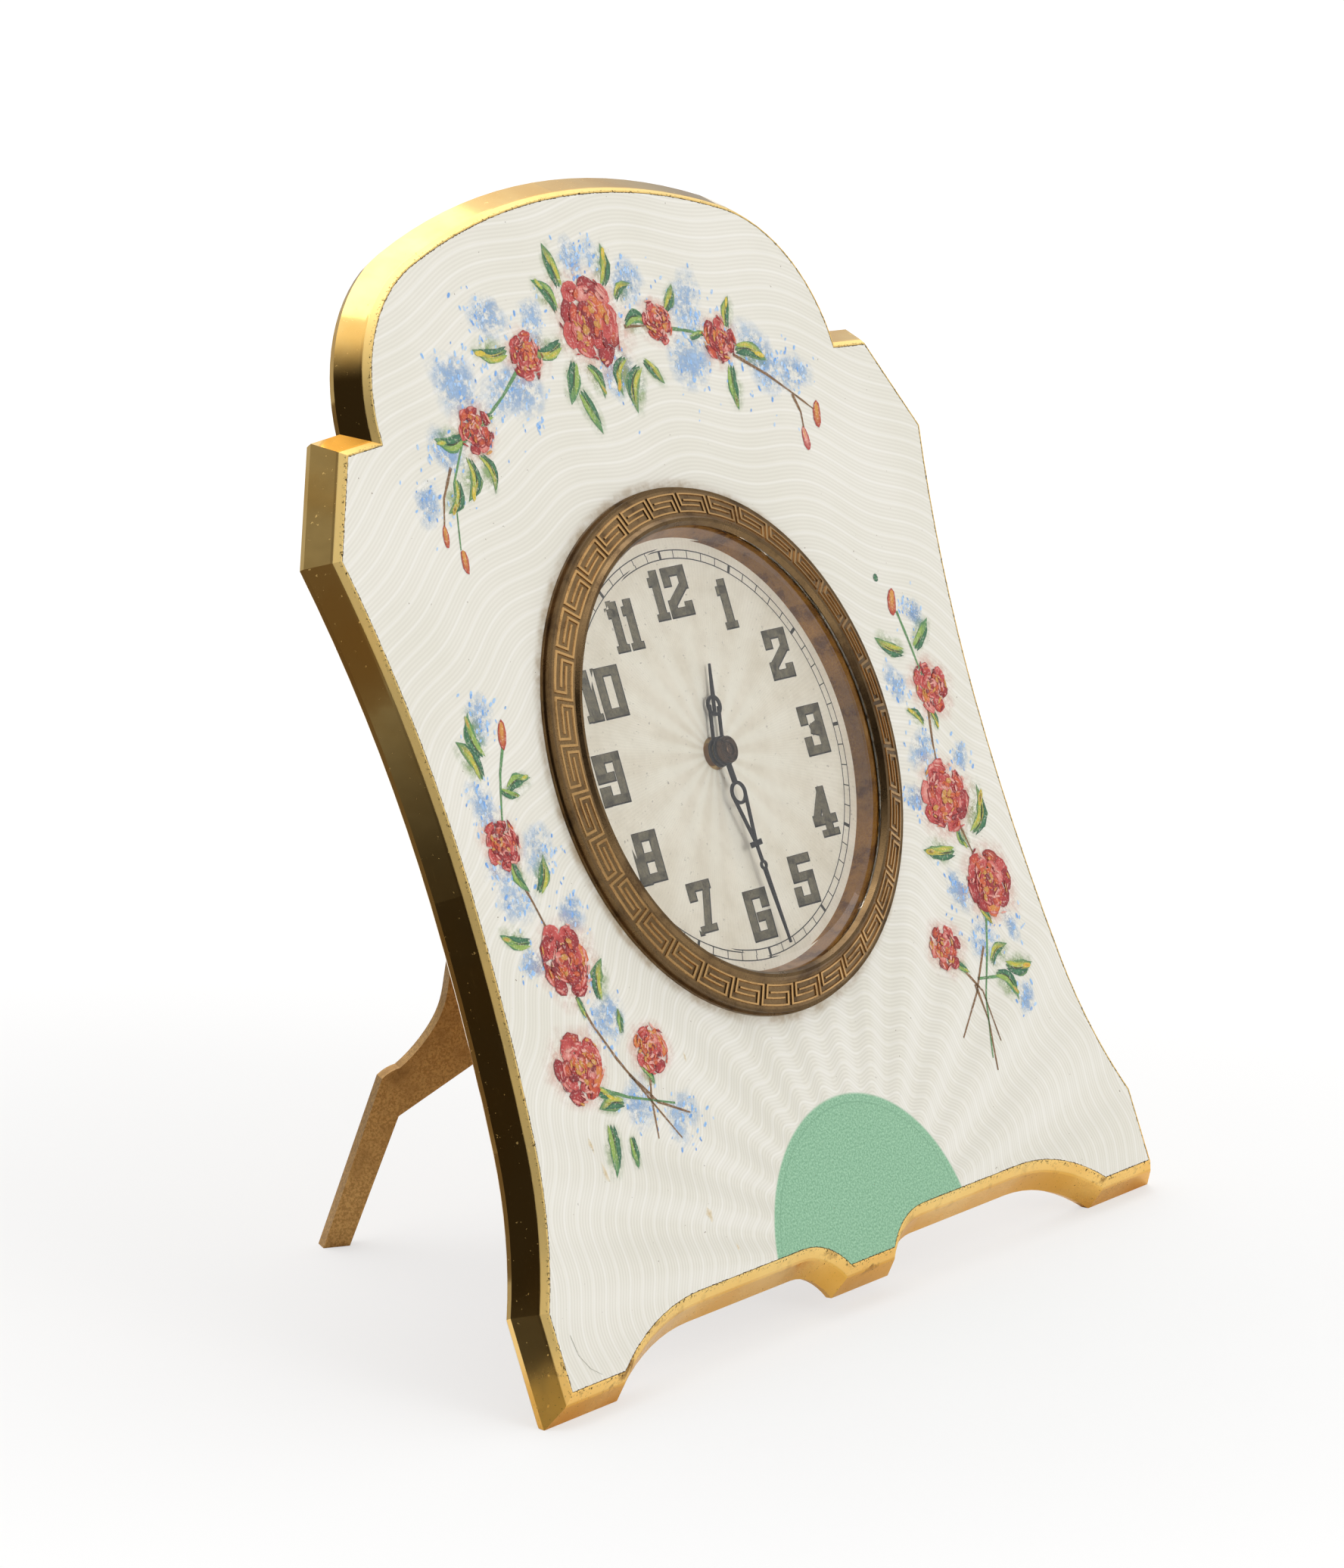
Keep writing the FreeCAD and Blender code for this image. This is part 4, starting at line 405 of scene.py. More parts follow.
def turned_lines(graph, across, up):
    """Fine and pale lines from 0 to 1, ray folds from -1 to 1, and the distance from the sun."""
    x = graph.math("SUBTRACT", across, SUN[0])
    y = graph.math("SUBTRACT", up, SUN[1])
    radius = graph.span(x, y)
    angle = graph.math("ARCTAN2", x, y)
    turn = graph.math("MULTIPLY_ADD", angle, LOBES, graph.math("MULTIPLY", radius, TWIST))
    swing = graph.math("MULTIPLY_ADD", radius, SWING_GROWTH, SWING)
    cut = graph.math("MULTIPLY_ADD", graph.math("SINE", turn), swing, radius)

    def lines(pitch):
        """Lines at a pitch, as values from 0 to 1."""
        swell = graph.math("SINE", graph.math("MULTIPLY", cut, 2 * math.pi / pitch))
        return graph.math("MULTIPLY_ADD", swell, 0.5, 0.5)

    pale = graph.math("POWER", lines(PALE_PITCH), PALE_SHARPNESS)
    fold = graph.math("MULTIPLY", graph.math("COSINE", turn), graph.ease(radius, *FOLD_FADE, 0.12, 1.0))
    return lines(FINE_PITCH), pale, fold, radius


print("engine turning:", LOBES, "waves round the sun, pitch", FINE_PITCH, "mm")

# %% [markdown]
# ## The enamel itself
#
# The plate is ivory glass fused over engraved metal, polished flat. It could be two
# layers with real refraction; one opaque body under a clear coat looks the same at this
# size and renders far faster. The engraving shows as colour and as a very shallow bump,
# which stops at the green half sun.

# %% The enamel itself
BEZEL_EDGE = 24.0
BEZEL_BAND_WIDTH = 0.8
RING_INSET = 0.75
RING_WIDTH = 0.12
ENGRAVING_DEPTH = 0.012


def half_sun(graph, place, radius):
    """The green of the half sun, with a darker ring just inside its rim."""
    granules = graph.noise(place, 5.0, 3.0, 0.7)
    green = graph.mix(graph.ease(granules, 0.35, 0.68), linear(121, 172, 137), linear(163, 208, 175))
    from_ring = graph.math("ABSOLUTE", graph.math("SUBTRACT", radius, SUN_RADIUS - RING_INSET))
    return graph.mix(graph.ease(from_ring, RING_WIDTH, 0.0, 0.0, 0.5), green, linear(108, 158, 126))


def make_enamel():
    """Ivory over the engraving with painted sheen and shade on its waves, the green half sun, a patchy
    brownish band round the bezel and a few specks.
    """
    made, graph, shader = surface("enamel")
    across, up, _, place = place_of(graph)
    fine, pale, fold, radius = turned_lines(graph, across, up)
    clouds = graph.noise(place, 0.07, 3.0)
    body = graph.mix(graph.ease(clouds, 0.3, 0.7), linear(232, 229, 217), linear(237, 234, 224))
    engraved = graph.math("MULTIPLY", fine, graph.ease(radius, 20.0, 60.0, 0.5, 0.32))
    body = graph.mix(engraved, body, linear(210, 206, 192))
    body = graph.mix(graph.math("MULTIPLY", pale, 0.5), body, linear(246, 244, 238))
    # Painted sheen and shade: the fold lightens one side of each wave and darkens the other.
    body = graph.mix(graph.ease(fold, 0.1, 1.0, 0.0, 0.3), body, linear(245, 243, 237))
    body = graph.mix(graph.ease(fold, -0.1, -1.0, 0.0, 0.2), body, linear(208, 205, 193))
    rim = graph.ease(radius, SUN_RADIUS + 0.18, SUN_RADIUS - 0.12)
    body = graph.mix(rim, body, half_sun(graph, place, radius))
    # A patchy brownish band just outside the bezel, strongest next to it.
    bezel_blotch = graph.ease(graph.noise(place, 0.5, 4.0, 0.6), 0.35, 0.7, 0.15, 0.75)
    near_bezel = graph.ease(graph.span(across, up), BEZEL_EDGE + BEZEL_BAND_WIDTH, BEZEL_EDGE)
    body = graph.mix(graph.math("MULTIPLY", near_bezel, bezel_blotch), body, linear(172, 150, 116))
    specks = graph.ease(graph.noise(place, 1.9, 2.0, 0.6), 0.735, 0.77, 0.0, 0.75)
    body = graph.mix(specks, body, linear(120, 100, 78))

    shader.inputs["Coat Weight"].default_value = 0.6
    shader.inputs["Coat Roughness"].default_value = 0.05
    shader.inputs["IOR"].default_value = 1.45
    graph.feed(shader.inputs["Base Color"], body)
    graph.feed(shader.inputs["Roughness"], graph.ease(clouds, 0.3, 0.7, 0.28, 0.4))
    height = graph.math("ADD", graph.math("MULTIPLY", fine, 0.6), pale)
    outside = graph.ease(radius, SUN_RADIUS - 0.1, SUN_RADIUS + 0.2)
    engraving = graph.bump(graph.math("MULTIPLY", height, outside), 0.35, ENGRAVING_DEPTH * MM)
    graph.feed(shader.inputs["Normal"], engraving)
    return made


ENAMEL = make_enamel()

print("enamel:", len(ENAMEL.node_tree.nodes), "nodes")

# %% [markdown]
# ## The silvered dial
#
# A thin silvered plate, engine-turned in rays from its middle and gone slightly brown
# with small spots of age. The rays could be cut into the mesh, but they are hundredths
# of a millimetre deep, so sines of the angle drive a faint bump and shade instead.

# %% The silvered dial
BROAD_RAYS = 18.0
FINE_RAYS = 270.0
RING_RATE = 17.0
RAY_DEPTH = 0.01


def make_dial():
    """Silvering with rays and rings, browned in clouds and small spots."""
    made, graph, shader = surface("dial_silver")
    across, up, _, place = place_of(graph)
    angle = graph.math("ARCTAN2", across, up)
    radius = graph.span(across, up)
    broad = graph.math("SINE", graph.math("MULTIPLY", angle, BROAD_RAYS))
    fine = graph.math("SINE", graph.math("MULTIPLY", angle, FINE_RAYS))
    phase = graph.math("MULTIPLY_ADD", broad, 0.5, graph.math("MULTIPLY", radius, RING_RATE))
    rings = graph.math("SINE", phase)
    clouds = graph.noise(place, 0.22, 5.0, 0.65)
    colour = graph.mix(graph.ease(clouds, 0.3, 0.72), linear(237, 229, 213), linear(220, 210, 191))
    sheen = graph.math("MULTIPLY", graph.ease(broad, -1.0, 1.0), graph.ease(radius, 18.0, 3.0, 0.08, 0.5))
    colour = graph.mix(sheen, colour, linear(246, 242, 230))
    colour = graph.mix(graph.ease(fine, -1.0, 1.0, 0.0, 0.1), colour, linear(190, 180, 160))
    spots = graph.ease(graph.noise(place, 2.1, 4.0, 0.74), 0.635, 0.7, 0.0, 0.55)
    colour = graph.mix(spots, colour, linear(110, 96, 78))

    shader.inputs["Metallic"].default_value = 0.15
    graph.feed(shader.inputs["Base Color"], colour)
    graph.feed(shader.inputs["Roughness"], graph.ease(clouds, 0.3, 0.7, 0.42, 0.58))
    height = graph.math("MULTIPLY_ADD", fine, 0.5, graph.math("MULTIPLY_ADD", rings, 0.3, broad))
    graph.feed(shader.inputs["Normal"], graph.bump(height, 0.12, RAY_DEPTH * MM))
    return made


DIAL = make_dial()

print("dial:", len(DIAL.node_tree.nodes), "nodes")

# %% [markdown]
# ## The glass
#
# The crystal is a thick bevelled disc. Strong bending at its bevel would double the
# numerals in a small picture, so the body bends light a little and a clear coat gives
# the full gloss. Shadow rays go straight through, or the dial under it would be black.

# %% The glass
GLASS_BEND = 1.2


def make_glass():
    """Clear glass with a little dust, which shadow rays pass straight through."""
    made = bpy.data.materials.new("glass")
    made.use_nodes = True
    made.node_tree.nodes.clear()
    graph = Graph(made.node_tree)
    dust = graph.noise(graph.add("TexCoord").outputs["Object"], 900.0, 4.0)
    clear = graph.add("BsdfPrincipled", {"IOR": GLASS_BEND, "Transmission Weight": 1.0, "Coat Weight": 1.0,
                                         "Coat Roughness": 0.01, "Base Color": (0.985, 0.99, 0.985, 1.0)})
    graph.feed(clear.inputs["Roughness"], graph.ease(dust, 0.55, 0.8, 0.0, 0.02))
    through = graph.add("BsdfTransparent", {"Color": (0.96, 0.97, 0.96, 1.0)})
    shadow = graph.add("LightPath").outputs["Is Shadow Ray"]
    both = graph.add("MixShader", {0: shadow, 1: clear.outputs[0], 2: through.outputs[0]})
    end = graph.add("OutputMaterial")
    graph.feed(end.inputs["Surface"], both.outputs[0])
    return made


GLASS = make_glass()

print("glass:", GLASS.name)

# %% [markdown]
# ## Overglaze paint
#
# The flowers are painted in enamel colours over the ivory. A texture painted by hand
# would be the usual way; here each stroke is a tiny face that stores its own colour in
# the mesh, so one material serves them all and only adds mottling. A second one fades
# out by the stored alpha: it is the soft colour behind and round the flowers.

# %% Overglaze paint
def make_paint(name, roughness, coat):
    """Paint whose colour is stored in the mesh, stroke by stroke, and mottled a little."""
    made, graph, shader = surface(name)
    colour = graph.add("Attribute", attribute_name="paint").outputs["Color"]
    spot = graph.add("TexCoord").outputs["Object"]
    mottle = graph.noise(spot, 5200.0, 2.0)
    colour = graph.mix(graph.ease(mottle, 0.54, 0.7, 0.0, 0.35), colour, linear(246, 232, 222))
    colour = graph.mix(graph.ease(mottle, 0.44, 0.3, 0.0, 0.3), colour, linear(70, 40, 30))
    shader.inputs["Coat Weight"].default_value = coat
    shader.inputs["Coat Roughness"].default_value = 0.05
    graph.feed(shader.inputs["Base Color"], colour)
    graph.feed(shader.inputs["Roughness"], graph.ease(mottle, 0.3, 0.7, roughness, roughness + 0.15))
    return made


def make_haze():
    """Soft colour behind and round the flowers; the mesh stores how thin it is."""
    made, graph, shader = surface("painted_haze")
    stored = graph.add("Attribute", attribute_name="paint").outputs
    spot = graph.add("TexCoord").outputs["Object"]
    cloud = graph.ease(graph.noise(spot, 1000.0, 5.0, 0.75), 0.36, 0.66)
    shader.inputs["Roughness"].default_value = 0.3
    shader.inputs["Coat Weight"].default_value = 0.6
    graph.feed(shader.inputs["Base Color"], stored["Color"])
    graph.feed(shader.inputs["Alpha"], graph.math("MULTIPLY", stored["Alpha"], cloud))
    return made


PAINT = make_paint("painting", 0.35, 0.45)
HAZE = make_haze()

print("paints:", PAINT.name, HAZE.name)

# %% [markdown]
# ## Inks and dirt
#
# The numerals are filled with olive luminous paste inside a dark printed edge, and old
# polish sits in the joints. All are matt, crumbly and slightly raised, so one recipe
# with two tones fits them.

# %% Inks and dirt
CRUMB_DEPTH = 0.01


def make_print(name, light, dark, roughness):
    """Raised or printed ink with a little wear."""
    made, graph, shader = surface(name)
    spot = graph.add("TexCoord").outputs["Object"]
    wear = graph.noise(spot, 2600.0, 4.0, 0.7)
    colour = graph.mix(graph.ease(wear, 0.35, 0.68), linear(*dark), linear(*light))
    graph.feed(shader.inputs["Base Color"], colour)
    graph.feed(shader.inputs["Roughness"], graph.ease(wear, 0.3, 0.7, roughness, roughness + 0.2))
    graph.feed(shader.inputs["Normal"], graph.bump(wear, 0.3, CRUMB_DEPTH * MM))
    return made


NUMERAL_FILL = make_print("numeral_fill", (112, 103, 78), (76, 69, 50), 0.45)
NUMERAL_EDGE = make_print("numeral_edge", (34, 30, 26), (16, 15, 14), 0.5)
GRIME = make_print("grime", (96, 66, 34), (34, 26, 18), 0.6)

print("inks:", NUMERAL_FILL.name, NUMERAL_EDGE.name, GRIME.name)

# %% [markdown]
# ## Every CAD node gets its material
#
# The table reads like a parts list. A node that is missing here would stay grey, so
# the loop runs over the frame's nodes and not over the table.

# %% Every CAD node gets its material
NODES_OF = {
    GILT: ("case_frame",),
    ENAMEL: ("enamel_panel",),
    BRONZE: ("bezel",),
    GLASS: ("crystal",),
    RING_BRASS: ("reflector_ring",),
    DIAL: ("dial",),
    BLUED_STEEL: ("hour_hand", "minute_hand"),
    CAP_METAL: ("hand_nut",),
    SPRING_STEEL: ("mainspring", "hairspring"),
    AGED_GILT: ("back_plate", "movement_can", "back_cover", "winding_key", "setting_knob",
                "strut_bracket", "strut"),
    STEEL: ("back_screws", "cannon_pinion", "pillar_screws", "barrel_arbor", "ratchet_wheel", "click",
            "click_screw", "centre_arbor", "escape_wheel", "pallet_lever", "cock_screw", "hinge_pin"),
    MOVEMENT_BRASS: ("dial_spacer", "minute_wheel", "hour_wheel", "main_plate", "pillars", "top_plate",
                     "barrel", "centre_wheel", "third_wheel", "fourth_wheel", "balance_wheel",
                     "balance_cock"),
}
MATERIAL_OF = {node: material for material, nodes in NODES_OF.items() for node in nodes}
for node_name, node_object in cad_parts.items():
    node_object.data.materials.clear()
    node_object.data.materials.append(MATERIAL_OF[node_name])

print("nodes with a material:", len(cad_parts))

# %% [markdown]
# ## Drawing with strokes
#
# `Sheet` collects faces. A dab of paint is a small fan of them with one colour at its
# middle and another at its rim; later strokes lie a hair higher, so they cover the
# earlier ones as on the real plate. Nothing is thicker than a coat of paint. The same
# sheet also draws the relief and the printing, whose faces need no colour of their own.

# %% Drawing with strokes
class Sheet:
    """Faces near the front; those of the painting have a colour at every corner."""

    def __init__(self):
        self.points, self.faces, self.colours = [], [], []

    def face(self, corners, colours=()):
        """One face from its corners, with a colour for each of them if it is paint."""
        first = len(self.points)
        self.points.extend(corners)
        self.colours.extend(colours)
        self.faces.append(tuple(range(first, first + len(corners))))

    def strip(self, rows):
        """Four-sided faces from each row of points to the next."""
        for row, following in zip(rows, rows[1:]):
            for index in range(len(row) - 1):
                self.face([row[index], row[index + 1], following[index + 1], following[index]])

    def fan(self, middle, rim, middle_colour, rim_colour):
        """Three-sided faces round a middle."""
        first = len(self.points)
        count = len(rim)
        self.points.extend([middle] + rim)
        self.colours.extend([middle_colour] + [rim_colour] * count)
        for index in range(count):
            self.faces.append((first, first + 1 + index, first + 1 + (index + 1) % count))

    def piece(self, name, material, body, slot):
        """The sheet as an object that rides on a body of the clock."""
        mesh = bpy.data.meshes.new(name)
        mesh.from_pydata([tuple(point) for point in self.points], [], self.faces)
        if self.colours:
            stored = mesh.color_attributes.new("paint", "FLOAT_COLOR", "POINT")
            stored.data.foreach_set("color", [value for colour in self.colours for value in colour])
        mesh.materials.append(material)
        made = bpy.data.objects.new(name, mesh)
        bpy.context.collection.objects.link(made)
        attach(made, body)
        return made


print("sheets keep", list(vars(Sheet())))

# %% [markdown]
# ## The brush
#
# A painter's stroke is widest where the brush is pressed and never quite even. Curves
# could carry it, but they bring far more faces than a stroke of half a millimetre
# needs. A dab is a fan round one point, a stroke is a strip that tapers, and both
# wobble by a seeded random draw.

# %% The brush
STROKE_PARTS = 4


def turned(x, y, turn):
    """A flat spot turned about the origin by an angle in radians."""
    return x * math.cos(turn) - y * math.sin(turn), x * math.sin(turn) + y * math.cos(turn)


def beside(across, up, reach, angle):
    """The spot at a reach from another one, in a direction given in degrees."""
    turn = math.radians(angle)
    return across + reach * math.cos(turn), up + reach * math.sin(turn)


def shade(colour, factor):
    """A colour made lighter or darker."""
    return tuple(min(1.0, value * factor) for value in colour[:3]) + (1.0,)


class Brush:
    """Strokes of paint on the enamel, in the front's millimetres."""

    def __init__(self, seed):
        self.sheet = Sheet()
        self.random = random.Random(seed)

    def dab(self, across, up, length, width, angle, middle, rim, height, wobble=0.12, sides=9):
        """One touch of the brush, with a colour at its middle and one at its rim."""
        turn = math.radians(angle)
        points = []
        for index in range(sides):
            step = 2 * math.pi * index / sides
            swell = 1 + self.random.uniform(-wobble, wobble)
            x, y = turned(math.cos(step) * length / 2 * swell, math.sin(step) * width / 2 * swell, turn)
            points.append(on_front(across + x, up + y, height))
        self.sheet.fan(on_front(across, up, height), points, middle, rim)

    def stroke(self, spots, start_width, end_width, colour, height):
        """A tapering line through the given spots."""
        dense = []
        for spot, following in zip(spots, spots[1:]):
            for part in range(STROKE_PARTS):
                share = part / STROKE_PARTS
                dense.append(tuple(a + (b - a) * share for a, b in zip(spot, following)))
        dense.append(spots[-1])
        count = len(dense)
        sides = []
        for index, (across, up) in enumerate(dense):
            before = dense[max(0, index - 1)]
            after = dense[min(count - 1, index + 1)]
            along = Vector((after[0] - before[0], after[1] - before[1]))
            along.normalize()
            half = (start_width + (end_width - start_width) * index / (count - 1)) / 2
            half *= 1 + self.random.uniform(-0.2, 0.2)
            sides.append((on_front(across - along.y * half, up + along.x * half, height),
                          on_front(across + along.y * half, up - along.x * half, height)))
        for (left, right), (next_left, next_right) in zip(sides, sides[1:]):
            tone = shade(colour, self.random.uniform(0.85, 1.15))
            self.sheet.face([left, next_left, next_right, right], [tone] * 4)


trial = Brush(1)
trial.dab(0, 0, 2, 1, 0, linear(255, 255, 255), linear(160, 160, 160), 0)
print("faces of a dab:", len(trial.sheet.faces))

# %% [markdown]
# ## The palette
#
# A garland hangs over the dial and a spray on either side. The colours are those of
# overglaze enamel: crimson with pink lights and ochre hearts, two greens with yellow
# edges, and a forget-me-not blue. Any stroke could mix its own; they are named once
# here instead, so that every stroke draws from the same small palette.

# %% The palette
CRIMSON = linear(176, 42, 42)
DEEP_RED = linear(140, 28, 36)
PINK = linear(204, 86, 80)
PALE_PINK = linear(232, 164, 150)
ORANGE = linear(212, 92, 44)
OCHRE = linear(212, 148, 64)
LEAF_GREEN = linear(74, 134, 90)
LEAF_DARK = linear(36, 90, 66)
LEAF_LIGHT = linear(146, 176, 82)
LEAF_YELLOW = linear(214, 190, 58)
LEAF_BROWN = linear(96, 64, 26)
STEM_BROWN = linear(128, 94, 56)
STEM_GREEN = linear(92, 142, 88)
HAZE_BLUE = linear(172, 204, 240)
HAZE_GREEN = linear(146, 176, 112)
HAZE_PINK = linear(230, 156, 136)
STAIN = linear(208, 186, 142)
STAIN_RIM = linear(232, 226, 208)
CRACK = linear(176, 174, 160)
BLUES = (linear(164, 200, 238), linear(142, 186, 234), linear(182, 208, 236), linear(112, 164, 226))
PETALS = ((CRIMSON, DEEP_RED), (ORANGE, CRIMSON), (PINK, CRIMSON), (CRIMSON, DEEP_RED), (PALE_PINK, PINK),
          (ORANGE, DEEP_RED), (OCHRE, ORANGE), (CRIMSON, PINK))
TOUCHES = (PALE_PINK, PALE_PINK, PALE_PINK, PINK, CRIMSON, DEEP_RED, DEEP_RED, ORANGE, OCHRE)

print("petal pairs:", len(PETALS), "blues:", len(BLUES))

# %% [markdown]
# ## A leaf
#
# The real leaves are a few touches: a pale or yellow blade, a green half over it, a
# brown vein and often a yellow or brown tip. One outline with a texture would look
# printed, so the same touches are laid in the same order, each a hair above the last,
# and a random bend and an uneven edge keep any two leaves from being alike.

# %% A leaf
LEAF_LEVEL = 0.024
BLADE_STEPS = 7
TIP_SHARE = 0.55


def paint_leaf(brush, across, up, length, angle, yellow):
    """A pointed leaf from its base at the given spot: blade, dark and light half, vein and tip."""
    draw = brush.random
    turn = math.radians(angle)
    bend = draw.uniform(-0.26, 0.26)
    slim = draw.uniform(0.75, 1.05)

    def place(along, side):
        """A spot of the leaf from its place along it and beside it, as shares of its length."""
        x, y = turned(along * length, (side + bend * math.sin(math.pi * along)) * length, turn)
        return across + x, up + y

    def blade(reach, half, shift, middle, rim, height):
        """A pointed touch: how far it reaches, half its width and its shift, in the same shares."""
        edge = []
        for step in range(BLADE_STEPS + 1):
            share = step / BLADE_STEPS
            side = half * slim * math.sin(math.pi * share ** 0.85) * draw.uniform(0.8, 1.18)
            edge.append((0.02 + share * reach, side))
        spots = [(along, shift + side) for along, side in edge]
        spots += [(along, shift - side) for along, side in reversed(edge[1:-1])]
        points = [on_front(*place(*spot), height) for spot in spots]
        brush.sheet.fan(on_front(*place(reach / 2, shift), height), points, middle, rim)

    height = LEAF_LEVEL + draw.uniform(0, 0.002)
    rim = LEAF_YELLOW if yellow or draw.random() < 0.3 else LEAF_LIGHT
    side = draw.choice((-1, 1))
    blade(1.0, 0.2, 0.0, rim, LEAF_GREEN, height)
    blade(0.82, 0.075, 0.085 * side, LEAF_GREEN, LEAF_DARK, height + 0.004)
    blade(0.74, 0.07, -0.08 * side, rim, LEAF_LIGHT, height + 0.007)
    blade(draw.uniform(0.5, 0.8), 0.02, 0.0, LEAF_BROWN, LEAF_DARK, height + 0.01)
    if draw.random() < TIP_SHARE:
        tip = draw.choice((LEAF_YELLOW, OCHRE, LEAF_YELLOW, LEAF_BROWN))
        brush.dab(*place(0.8, 0.0), length * 0.34, length * 0.12, angle, tip, rim, height + 0.013, sides=7)


trial = Brush(1)
paint_leaf(trial, 0, 0, 4, 90, True)
print("faces of a leaf:", len(trial.sheet.faces))

# %% [markdown]
# ## A rose
#
# Each flower is a heap of short curved petals round an ochre heart. It could be drawn
# petal by petal; four rings of dabs from the outside in give the same fullness, and a
# scatter of light and dark touches breaks them up as the painter's dry brush did.

# %% A rose
# Share of the radius, number of petals, size of a petal.
PETAL_RINGS = ((0.74, 9, 0.62), (0.5, 8, 0.52), (0.27, 6, 0.42), (0.06, 3, 0.34))
FEWEST_PETALS = 3
PLAIN_SHARE = 0.45
FLOWER_LEVEL = 0.04
COAT = 0.0012
THIN_COAT = 0.0003
TOUCH_COUNT = 54
HEART_COUNT = 14
HEART_TONES = (OCHRE, ORANGE, OCHRE, ORANGE, DEEP_RED)


def paint_petals(brush, across, up, radius, petals, height):
    """Rings of rounded petals from the outside in; gives the height of the last one."""
    draw = brush.random
    for share, count, size in PETAL_RINGS:
        start = draw.uniform(0, 360)
        number = max(FEWEST_PETALS, round(count * petals))
        wide = radius * size
        for index in range(number):
            angle = start + 360 * index / number + draw.uniform(-12, 12)
            x, y = beside(across, up, radius * share * draw.uniform(0.88, 1.1), angle)
            middle, rim = draw.choice(PETALS)
            height += COAT
            brush.dab(x, y, wide * draw.uniform(0.85, 1.15), wide * 0.72, angle + 90, middle, rim, height,
                      wobble=0.2)
            height += COAT
            if draw.random() >= PLAIN_SHARE:
                brush.dab(*beside(x, y, wide * 0.22, angle), wide * 0.66, wide * 0.16, angle + 90,
                          PALE_PINK, draw.choice((PINK, CRIMSON)), height)
    return height


def paint_rose(brush, across, up, radius, petals):
    """A full rose: petals, light and dark touches over them, and dabs at the heart."""
    draw = brush.random
    height = paint_petals(brush, across, up, radius, petals, FLOWER_LEVEL + draw.uniform(0, 0.004))
    for _ in range(round(TOUCH_COUNT * petals)):
        angle = draw.uniform(0, 360)
        spot = beside(across, up, radius * draw.uniform(0.1, 0.98), angle)
        height += THIN_COAT
        tone = draw.choice(TOUCHES)
        brush.dab(*spot, draw.uniform(0.4, 1.0), draw.uniform(0.14, 0.3), angle + draw.uniform(50, 130),
                  tone, shade(tone, 0.9), height, wobble=0.25, sides=6)
    for _ in range(round(HEART_COUNT * petals)):
        angle = draw.uniform(0, 360)
        spot = beside(across, up, radius * draw.uniform(0.05, 0.62), angle)
        height += COAT
        tone = draw.choice(HEART_TONES)
        brush.dab(*spot, radius * 0.24, radius * 0.15, draw.uniform(0, 180), tone, shade(tone, 0.8), height,
                  sides=7)


trial = Brush(1)
paint_rose(trial, 0, 0, 4, 1.0)
print("faces of a rose:", len(trial.sheet.faces))

# %% [markdown]
# ## Buds and forget-me-nots
#
# Buds are one long dab with a lighter tip. Round the flowers lie hundreds of tiny blue
# dabs, dense at the middle of a cluster and rare outside, so their places come from a
# normal distribution.

# %% Buds and forget-me-nots
DAB_DENSITY = 1.2
DAB_LEVEL = 0.014
PAINTED_EDGE = 35.6


def paint_bud(brush, across, up, length, angle, tip):
    """A long dab with a lighter one over its end."""
    brush.dab(across, up, length, length * 0.42, angle, tip, CRIMSON, FLOWER_LEVEL)
    brush.dab(*beside(across, up, length * 0.2, angle), length * 0.5, length * 0.2, angle, OCHRE, tip,
              FLOWER_LEVEL + 0.004)


def sprinkle(brush, across, up, spread, count):
    """Small blue dabs round a spot, thinner towards the outside."""
    for _ in range(round(count * DAB_DENSITY)):
        x = across + brush.random.gauss(0, spread)
        y = up + brush.random.gauss(0, spread)
        tone = brush.random.choice(BLUES)
        size = brush.random.uniform(0.25, 0.65)
        if abs(x) > PAINTED_EDGE:
            continue
        brush.dab(x, y, size, size * 0.5, brush.random.uniform(20, 110), tone, shade(tone, 1.12),
                  DAB_LEVEL + brush.random.uniform(0, 0.006), sides=6)


trial = Brush(1)
sprinkle(trial, 0, 0, 2.0, 30)
print("faces of a cluster:", len(trial.sheet.faces))

# %% [markdown]
# ## The garland's plan
#
# Where each flower stands was laid out as a painter would pounce a design onto
# the plate. Each table lists spots in millimetres from the dial's centre. Tables are
# used and not a rule, because a garland that follows a rule looks printed.

# %% The garland's plan
# Across, up, radius, share of petals.
ROSES = (
    (-0.9, 39.4, 4.3, 1.0), (-10.9, 37.4, 2.3, 0.8), (-20.2, 32.0, 2.3, 0.8), (8.3, 38.0, 2.1, 0.7),
    (16.2, 35.4, 2.3, 0.8), (-32.4, -2.4, 2.3, 0.8), (-28.8, -13.2, 3.3, 1.0), (-31.0, -22.2, 3.2, 1.0),
    (-21.4, -22.6, 2.3, 0.8), (32.0, 0.3, 2.6, 0.8), (29.2, -9.6, 3.6, 1.0), (32.0, -18.3, 3.4, 1.0),
    (22.8, -22.7, 2.3, 0.7),
)
